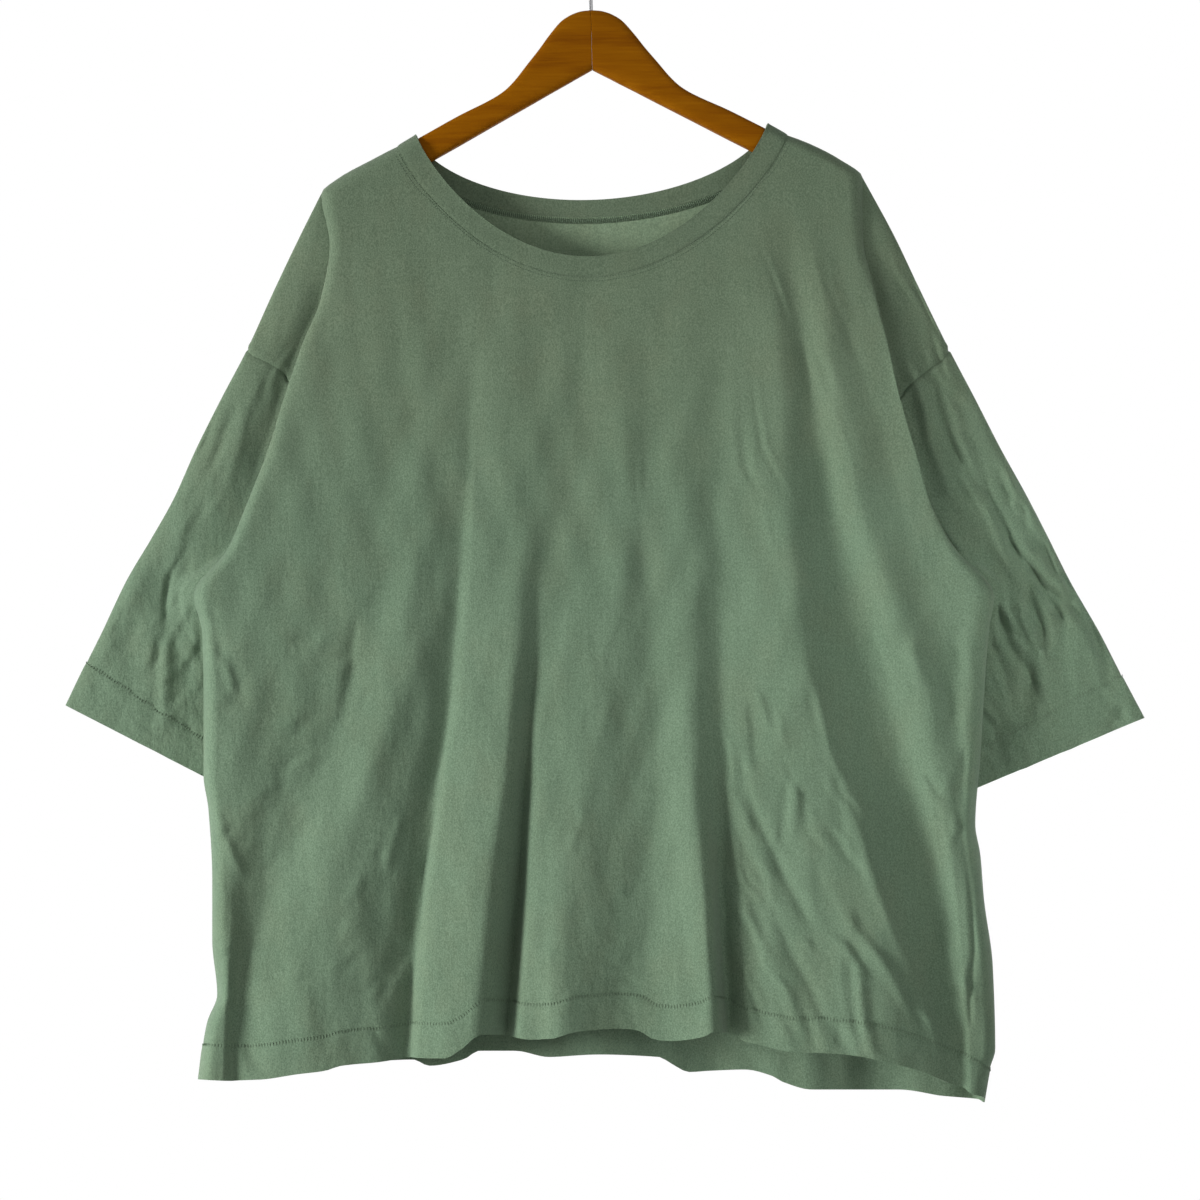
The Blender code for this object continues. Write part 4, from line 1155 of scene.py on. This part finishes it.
def jersey(name, shade=1.0, crumple=1.0, painted_shade_below=None):
    """Heathered cotton jersey: melange grain, faint streaks down the cloth, and soft crumples."""
    made = Finish(name, 0.92, Sheen_Weight=0.12, Sheen_Roughness=0.5, Specular_IOR_Level=0.15)
    flecks = made.noise(900, (1, 1, 0.8), 2.0, 0.7)
    streaks = made.noise(230, (1, 1, 0.07), 2.0, 0.6)
    slubs = made.noise(300, (0.14, 0.14, 1), 1.5, 0.5)
    patches = made.noise(16, (1, 1, 0.6), 3.0, 0.6)
    tone = made.weighed((flecks, 0.7), (streaks, 0.09), (slubs, 0.05), (patches, 0.16))
    dark, plain, light = (shaded(colour, shade) for colour in (SAGE_DARK, SAGE, SAGE_LIGHT))
    colour = made.shades(tone, [(0.37, dark), (0.5, plain), (0.63, light)])
    # Painted shade: the colour made darker towards the bottom, below the given height
    if painted_shade_below:
        painted_shade_share = made.span(made.height(), painted_shade_below + 0.12, painted_shade_below, 1.0)
        colour = made.blend(painted_shade_share, colour, made.blend(1.0, colour, PAINTED_LOW_SHADE, "MULTIPLY"))
    # Warmer in random patches, the yarn's own tone, and warmer over the upper part, a painted
    # brownish cast of shade
    warm = made.noise(26, (1, 1, 0.7), 3.0, 0.6)
    upper = made.span(made.height(), -0.5, -0.28, 0.55)
    warm_tone_and_shade = made.maths("ADD", made.span(warm, 0.4, 0.7, 0.3), upper)
    colour = made.blend(warm_tone_and_shade, colour, made.blend(1.0, colour, WARMER, "MULTIPLY"))

    # Soft crumples, more of them lower down, over the knit's grain
    low = made.maths("ADD", made.span(made.height(), -0.36, -0.62, 0.65), 0.35)
    broad = made.noise(40, (1, 1, 0.5), 3.0, 0.55)
    small = made.noise(120, (1, 1, 0.6), 4.0, 0.65)
    crumples = made.weighed((broad, 1.6), (small, 0.9))
    crumples = made.maths("MULTIPLY", made.maths("MULTIPLY", crumples, low), crumple)
    wales = made.add("ShaderNodeTexWave", {
        "Vector": made.place, "Scale": 370.0, "Distortion": 1.2, "Detail": 1.0, "Detail Scale": 2.0,
    }, bands_direction="X").outputs["Fac"]
    height = made.weighed((crumples, 1.0), (wales, 0.03), (flecks, 0.2), (streaks, 0.08))
    return made.finish(colour, height, 0.001, 1.0)


def varnished_wood(name):
    """Orange-brown varnished wood with its grain along the arm."""
    made = Finish(name, 0.5, Coat_Weight=0.01, Coat_Roughness=0.35, Specular_IOR_Level=0.03)
    grain = made.noise(120, (0.07, 1, 1), 4.0, 0.62)
    pores = made.noise(600, (0.05, 1, 1), 2.0, 0.5)
    tone = made.weighed((grain, 0.7), (pores, 0.3))
    colour = made.shades(tone, [(0.34, WOOD_DARK), (0.5, WOOD), (0.66, WOOD_LIGHT)])
    return made.finish(colour, pores, 0.0003, 0.25)


# Thread darker than the cloth, as painted shade of the stitch holes
def thread(name):
    made = Finish(name, 0.85, Sheen_Weight=0.15, Specular_IOR_Level=0.25)
    twist = made.noise(1400, (1, 1, 1), 1.0, 0.5)
    colour = made.shades(twist, [(0.35, THREAD_AND_HOLE_SHADE), (0.65, shaded(THREAD_AND_HOLE_SHADE, 1.5))])
    return made.finish(colour, twist, 0.0002, 0.4)


def wire_steel(name):
    made = Finish(name, 0.28, Metallic=1.0)
    drawn = made.noise(300, (1, 1, 0.1), 2.0, 0.5)
    colour = made.shades(drawn, [(0.35, shaded(STEEL, 0.8)), (0.65, STEEL)])
    return made.finish(colour, drawn, 0.0002, 0.2)


def studio_floor(name):
    made = Finish(name, 0.9, Specular_IOR_Level=0.1)
    tone = made.noise(2.0, (1, 1, 1), 2.0, 0.5)
    return made.finish(made.shades(tone, [(0.3, shaded(FLOOR, 0.985)), (0.7, FLOOR)]))


def sew_cloth():
    """The front and back panels, the two sleeves and the neck binding."""
    cloth = Cloth()
    for panel in ("front", "back"):
        grid = panel_grid(panel)
        relief = hem_relief(grid, HEM_DEPTH) + neck_relief(grid)
        cloth.add(panel + "_cloth", grid, relief, turned=panel == "back")
    for side in ("left", "right"):
        left = side == "left"
        grid = sleeve_grid(side)
        relief = hem_relief(grid, CUFF_DEPTH) + armhole_relief(side, grid, last=False)
        cloth.add("sleeve_cloth_" + side, grid, relief, turned=left)
        for panel in ("front", "back"):
            grid = shoulder_grid(side, panel)
            relief = armhole_relief(side, grid, last=True)
            cloth.add(panel + "_cloth", grid, relief, turned=left)
    for panel in ("front", "back"):
        grid = band_grid(panel)
        cloth.add("neck_binding", grid, band_relief(grid), turned=panel == "front")
    cloth.sew()
    return cloth


def hang_cloth(cloth):
    """Each piece as an object, its reverse side paler: its own tone and painted light."""
    pieces = {}
    body = jersey("sage_jersey", crumple=0.75)
    sleeve = jersey("sleeve_jersey", crumple=1.3)
    binding = jersey("binding_jersey", 0.95, crumple=0.1)
    # The reverse side: lightened with painted light for the light that hardly reaches the inside,
    # and darker low down with painted shade
    reverse = jersey("jersey_reverse_painted_light", 1.6, crumple=0.4, painted_shade_below=-0.45)
    for name in cloth.faces:
        band = name == "neck_binding"
        points, faces, outer = cloth.wall(name, BAND_WALL if band else WALL)
        finish = binding if band else sleeve if name.startswith("sleeve") else body
        made = mesh_object(name, points, faces, finish)
        if not band:
            made.data.materials.append(reverse)
            inside = np.zeros(len(made.data.polygons), np.int32)
            inside[outer:2 * outer] = 1
            made.data.polygons.foreach_set("material_index", inside)
        pieces[name] = made
    return pieces


def ladder(name, rows, finish, length, width, pitch, across):
    """Sewn rows: a small stitch on each step of the lines, made by Geometry Nodes."""
    points, edges = [], []
    for row in rows:
        start = len(points)
        points.extend((row * MM).tolist())
        edges.extend((i, i + 1) for i in range(start, len(points) - 1))
    mesh = bpy.data.meshes.new(name)
    mesh.from_pydata(points, edges, [])
    made = placed(name, mesh)

    tree = bpy.data.node_groups.new(name + "_rows", "GeometryNodeTree")
    tree.interface.new_socket("Geometry", in_out="INPUT", socket_type="NodeSocketGeometry")
    sizes = {}
    for socket, value in (("Length", length), ("Width", width), ("Pitch", pitch)):
        item = tree.interface.new_socket(socket, in_out="INPUT", socket_type="NodeSocketFloat")
        sizes[item.identifier] = value * MM
    tree.interface.new_socket("Geometry", in_out="OUTPUT", socket_type="NodeSocketGeometry")
    nodes = {key: tree.nodes.new(kind) for key, kind in (
        ("given", "NodeGroupInput"), ("lines", "GeometryNodeMeshToCurve"),
        ("spaced", "GeometryNodeResampleCurve"), ("stitch", "GeometryNodeMeshUVSphere"),
        ("size", "ShaderNodeCombineXYZ"), ("tangent", "GeometryNodeInputTangent"),
        ("turned", "FunctionNodeAlignRotationToVector"), ("set", "GeometryNodeInstanceOnPoints"),
        ("real", "GeometryNodeRealizeInstances"), ("coated", "GeometryNodeSetMaterial"),
        ("result", "NodeGroupOutput"),
    )}
    nodes["spaced"].mode = "LENGTH"
    nodes["turned"].axis = "X"
    for socket, value in (("Segments", 6), ("Rings", 5), ("Radius", 0.5)):
        nodes["stitch"].inputs[socket].default_value = value
    nodes["coated"].inputs["Material"].default_value = finish
    along, up = ("Z", "X") if across else ("X", "Z")
    for start, output, end, socket in (
        ("given", "Geometry", "lines", "Mesh"), ("lines", "Curve", "spaced", "Curve"),
        ("given", "Pitch", "spaced", "Length"), ("tangent", "Tangent", "turned", "Vector"),
        ("given", "Length", "size", along), ("given", "Width", "size", up),
        ("given", "Width", "size", "Y"), ("spaced", "Curve", "set", "Points"),
        ("stitch", "Mesh", "set", "Instance"), ("turned", "Rotation", "set", "Rotation"),
        ("size", "Vector", "set", "Scale"), ("set", "Instances", "real", "Geometry"),
        ("real", "Geometry", "coated", "Geometry"), ("coated", "Geometry", "result", "Geometry"),
    ):
        tree.links.new(nodes[start].outputs[output], nodes[end].inputs[socket])
    sewn = made.modifiers.new("sewn rows", "NODES")
    sewn.node_group = tree
    for identifier, value in sizes.items():
        sewn[identifier] = value
    return settled(made)


def stitch_rows(cloth):
    """The lines of the hem and cuff stitches, the neck's fine ones and its inner overlock."""
    out, ends, inner_ends = WALL / 2, NECK_ROWS_END, OVERLOCK_END
    hems = [(0, HEM_DEPTH), (1, HEM_DEPTH), (2, CUFF_DEPTH), (5, CUFF_DEPTH)]
    return {
        "hem_stitches": [cloth.row_at(grid, depth, True, out) for grid, depth in hems],
        "neck_stitches": [
            cloth.row_at(grid, run, False, out)[ends:-ends] for grid in (0, 1) for run in NECK_ROWS
        ],
        "neck_overlock": [
            cloth.row_at(grid, OVERLOCK_RUN, False, -out - OVERLOCK_LIFT)[inner_ends:-inner_ends]
            for grid in (0, 1)
        ],
    }


def tilt(points):
    """Turns places about the hook's top by the hanger's lean."""
    x = points[..., 0] * math.cos(HANGER_TILT) + points[..., 2] * math.sin(HANGER_TILT)
    down = points[..., 2] * math.cos(HANGER_TILT) - points[..., 0] * math.sin(HANGER_TILT)
    return np.stack([x, points[..., 1], down], axis=-1)


def wooden_half(side, finish, hole):
    """One half of the hanger, with softly rounded edges and half of the stem's hole."""
    out = np.concatenate([
        [0, 0.15, 0.35], np.linspace(0.6, WAIST_OUT, HANGER_RINGS // 2)[:-1],
        np.linspace(WAIST_OUT, TIP_OUT, HANGER_RINGS // 4)[:-1],
        np.linspace(TIP_OUT, ARM["out"][-1], HANGER_RINGS // 4),
    ])
    top, bottom, full = (smooth(out, ARM["out"], ARM[name]) for name in ("top", "bottom", "full"))
    inset = JOINT_EDGE * (1 - rounded(out, JOINT_EDGE))[:, None]
    turn = 2 * math.pi * (np.arange(HANGER_SIDES) + 0.5) / HANGER_SIDES
    across, along = np.cos(turn)[None], np.sin(turn)[None]
    size = (np.abs(across) ** ARM_SQUARENESS + np.abs(along) ** ARM_SQUARENESS)
    size = size ** (-1 / ARM_SQUARENESS)
    y = across * size * (HALF_THICKNESS * full[:, None] - inset)
    down = (top + bottom)[:, None] / 2 - along * size * ((bottom - top)[:, None] / 2 - inset)
    x = np.broadcast_to(out[:, None] + JOINT_GAP / 2, y.shape)
    if side == "left":
        x = -x
    points = upright(tilt(np.stack([x, y, HEAD_DOWN + down], axis=-1))).reshape(-1, 3)
    count = len(out)
    faces = []
    for row in range(count - 1):
        for i in range(HANGER_SIDES):
            after = (i + 1) % HANGER_SIDES
            start, end = row * HANGER_SIDES, (row + 1) * HANGER_SIDES
            faces.append([start + i, start + after, end + after, end + i])
    faces.append(list(range(HANGER_SIDES))[::-1])
    faces.append(list(range((count - 1) * HANGER_SIDES, count * HANGER_SIDES)))
    if side == "left":
        faces = [face[::-1] for face in faces]
    arm = mesh_object("wooden_half_" + side, points, faces, finish)
    cut = arm.modifiers.new("stem hole", "BOOLEAN")
    cut.operation = "DIFFERENCE"
    cut.object = hole
    made = settled(arm)
    made.data.set_sharp_from_angle(angle=SHARP_WOOD_FROM)
    return made


def stem_hole():
    """The drilled hole in the head, half of it in each wooden half."""
    depth, radius = STEM_DEPTH + 1, STEM_HOLE_RADIUS * MM
    hole = placed("stem_hole", mesh_of(
        "stem_hole", bmesh.ops.create_cone, segments=STEM_SIDES, radius1=radius, radius2=radius,
        depth=(depth + 6) * MM,
    ))
    hole.location = upright(tilt(np.array([0.0, 0.0, HEAD_DOWN + depth / 2 - 3]))) * MM
    hole.rotation_euler = (0, -HANGER_TILT, 0)
    return hole


def wire_hook(finish):
    """The steel wire: its stem, a soft bend to the right, and the round hook."""
    centre = HOOK_RADIUS - WIRE_RADIUS
    turns = np.radians(np.linspace(*HOOK_TURNS, HOOK_STEPS))
    ring = [(HOOK_RADIUS * math.cos(t), centre - HOOK_RADIUS * math.sin(t)) for t in turns]
    path = [(0, HEAD_DOWN + STEM_DEPTH), (0, HEAD_DOWN), (0, HOOK_STRAIGHT_TO)]
    for share in np.linspace(0, 1, BEND_STEPS + 1)[1:-1]:
        x = ring[0][0] * share**2 * (1.6 - 0.6 * share)
        path.append((x, mix(HOOK_STRAIGHT_TO, ring[0][1], share)))
    path += ring
    points = upright(tilt(np.array([(x, 0, down) for x, down in path], float))) * MM
    curve = bpy.data.curves.new("wire_hook", "CURVE")
    curve.dimensions = "3D"
    curve.bevel_depth = WIRE_RADIUS * MM
    curve.bevel_resolution = 5
    curve.use_fill_caps = True
    spline = curve.splines.new("POLY")
    spline.points.add(len(points) - 1)
    for knot, place in zip(spline.points, points):
        knot.co = (*place, 1)
    curve.materials.append(finish)
    return settled(placed("wire_hook", curve))


def soft_light(name, place, size, power, spread, target):
    """A round studio light that looks at its target."""
    lamp = bpy.data.lights.new(name, "AREA")
    lamp.shape = "DISK"
    lamp.size = size
    lamp.energy = power
    lamp.spread = math.radians(spread)
    made = placed(name, lamp)
    made.location = place
    aim = Vector(upright(np.array(target)) * MM) - Vector(place)
    made.rotation_euler = aim.to_track_quat("-Z", "Y").to_euler()


def studio():
    """Pale floor and white backdrop, soft light from the left, and the photograph's camera."""
    floor = placed("floor", mesh_of(
        "floor", bmesh.ops.create_circle, segments=FLOOR_SIDES, radius=FLOOR_RADIUS * MM,
    ))
    floor.data.materials.append(studio_floor("pale_floor"))
    floor.location = (0, 0, -FLOOR_DOWN * MM)

    for name, settings in LIGHTS.items():
        soft_light(name, *settings)
    sky = bpy.data.worlds.new("white studio")
    bpy.context.scene.world = sky
    sky.use_nodes = True
    nodes, links = sky.node_tree.nodes, sky.node_tree.links
    direction = nodes.new("ShaderNodeTexCoord")
    parts = nodes.new("ShaderNodeSeparateXYZ")
    bands = nodes.new("ShaderNodeValToRGB")
    links.new(direction.outputs["Generated"], parts.inputs["Vector"])
    links.new(parts.outputs["Y"], bands.inputs["Fac"])
    links.new(bands.outputs["Color"], nodes["Background"].inputs["Color"])
    first, second = bands.color_ramp.elements
    first.position, first.color = 0.2, (ROOM, ROOM, ROOM, 1)
    second.position, second.color = 0.85, (1, 1, 1, 1)
    nodes["Background"].inputs["Strength"].default_value = 1.0

    camera = bpy.data.cameras.new("photo")
    camera.lens = LENS
    camera.sensor_width = SENSOR
    camera.clip_end = 100
    eye = placed("photo", camera)
    eye.location = (EYE_X * MM, -EYE_DISTANCE * MM, -EYE_DOWN * MM)
    eye.rotation_euler = (math.pi / 2, 0, 0)
    bpy.context.scene.camera = eye
    bpy.context.scene.view_settings.view_transform = "Standard"


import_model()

sewn_cloth = sew_cloth()
cloth = hang_cloth(sewn_cloth)
hole = stem_hole()
wood = varnished_wood("orange_varnished_wood")
halves = {side: wooden_half(side, wood, hole) for side in ("left", "right")}
bpy.data.objects.remove(hole, do_unlink=True)
hook = wire_hook(wire_steel("drawn_steel_wire"))
sage_thread_and_hole_shade = thread("sage_thread_and_hole_shade")
sewn = {
    name: ladder(name, rows, sage_thread_and_hole_shade, *STITCHES[name])
    for name, rows in stitch_rows(sewn_cloth).items()
}

# Each piece with the solid that it stands for, where there is one, and its material slot
for piece, node, slot in (
    (cloth["front_cloth"], "front_panel", "jersey"),
    (cloth["back_cloth"], "back_panel", "jersey"),
    (cloth["sleeve_cloth_left"], "sleeve_left", "jersey"),
    (cloth["sleeve_cloth_right"], "sleeve_right", "jersey"),
    (cloth["neck_binding"], "neck_band", "binding"),
    (halves["left"], "hanger_arm_left", "varnished_wood"),
    (halves["right"], "hanger_arm_right", "varnished_wood"),
    (hook, "hook", "hook_wire"),
    (sewn["hem_stitches"], None, "jersey"),
    (sewn["neck_stitches"], None, "binding"),
    (sewn["neck_overlock"], None, "binding"),
):
    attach(piece, "root")
    if node:
        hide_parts(node)

studio()
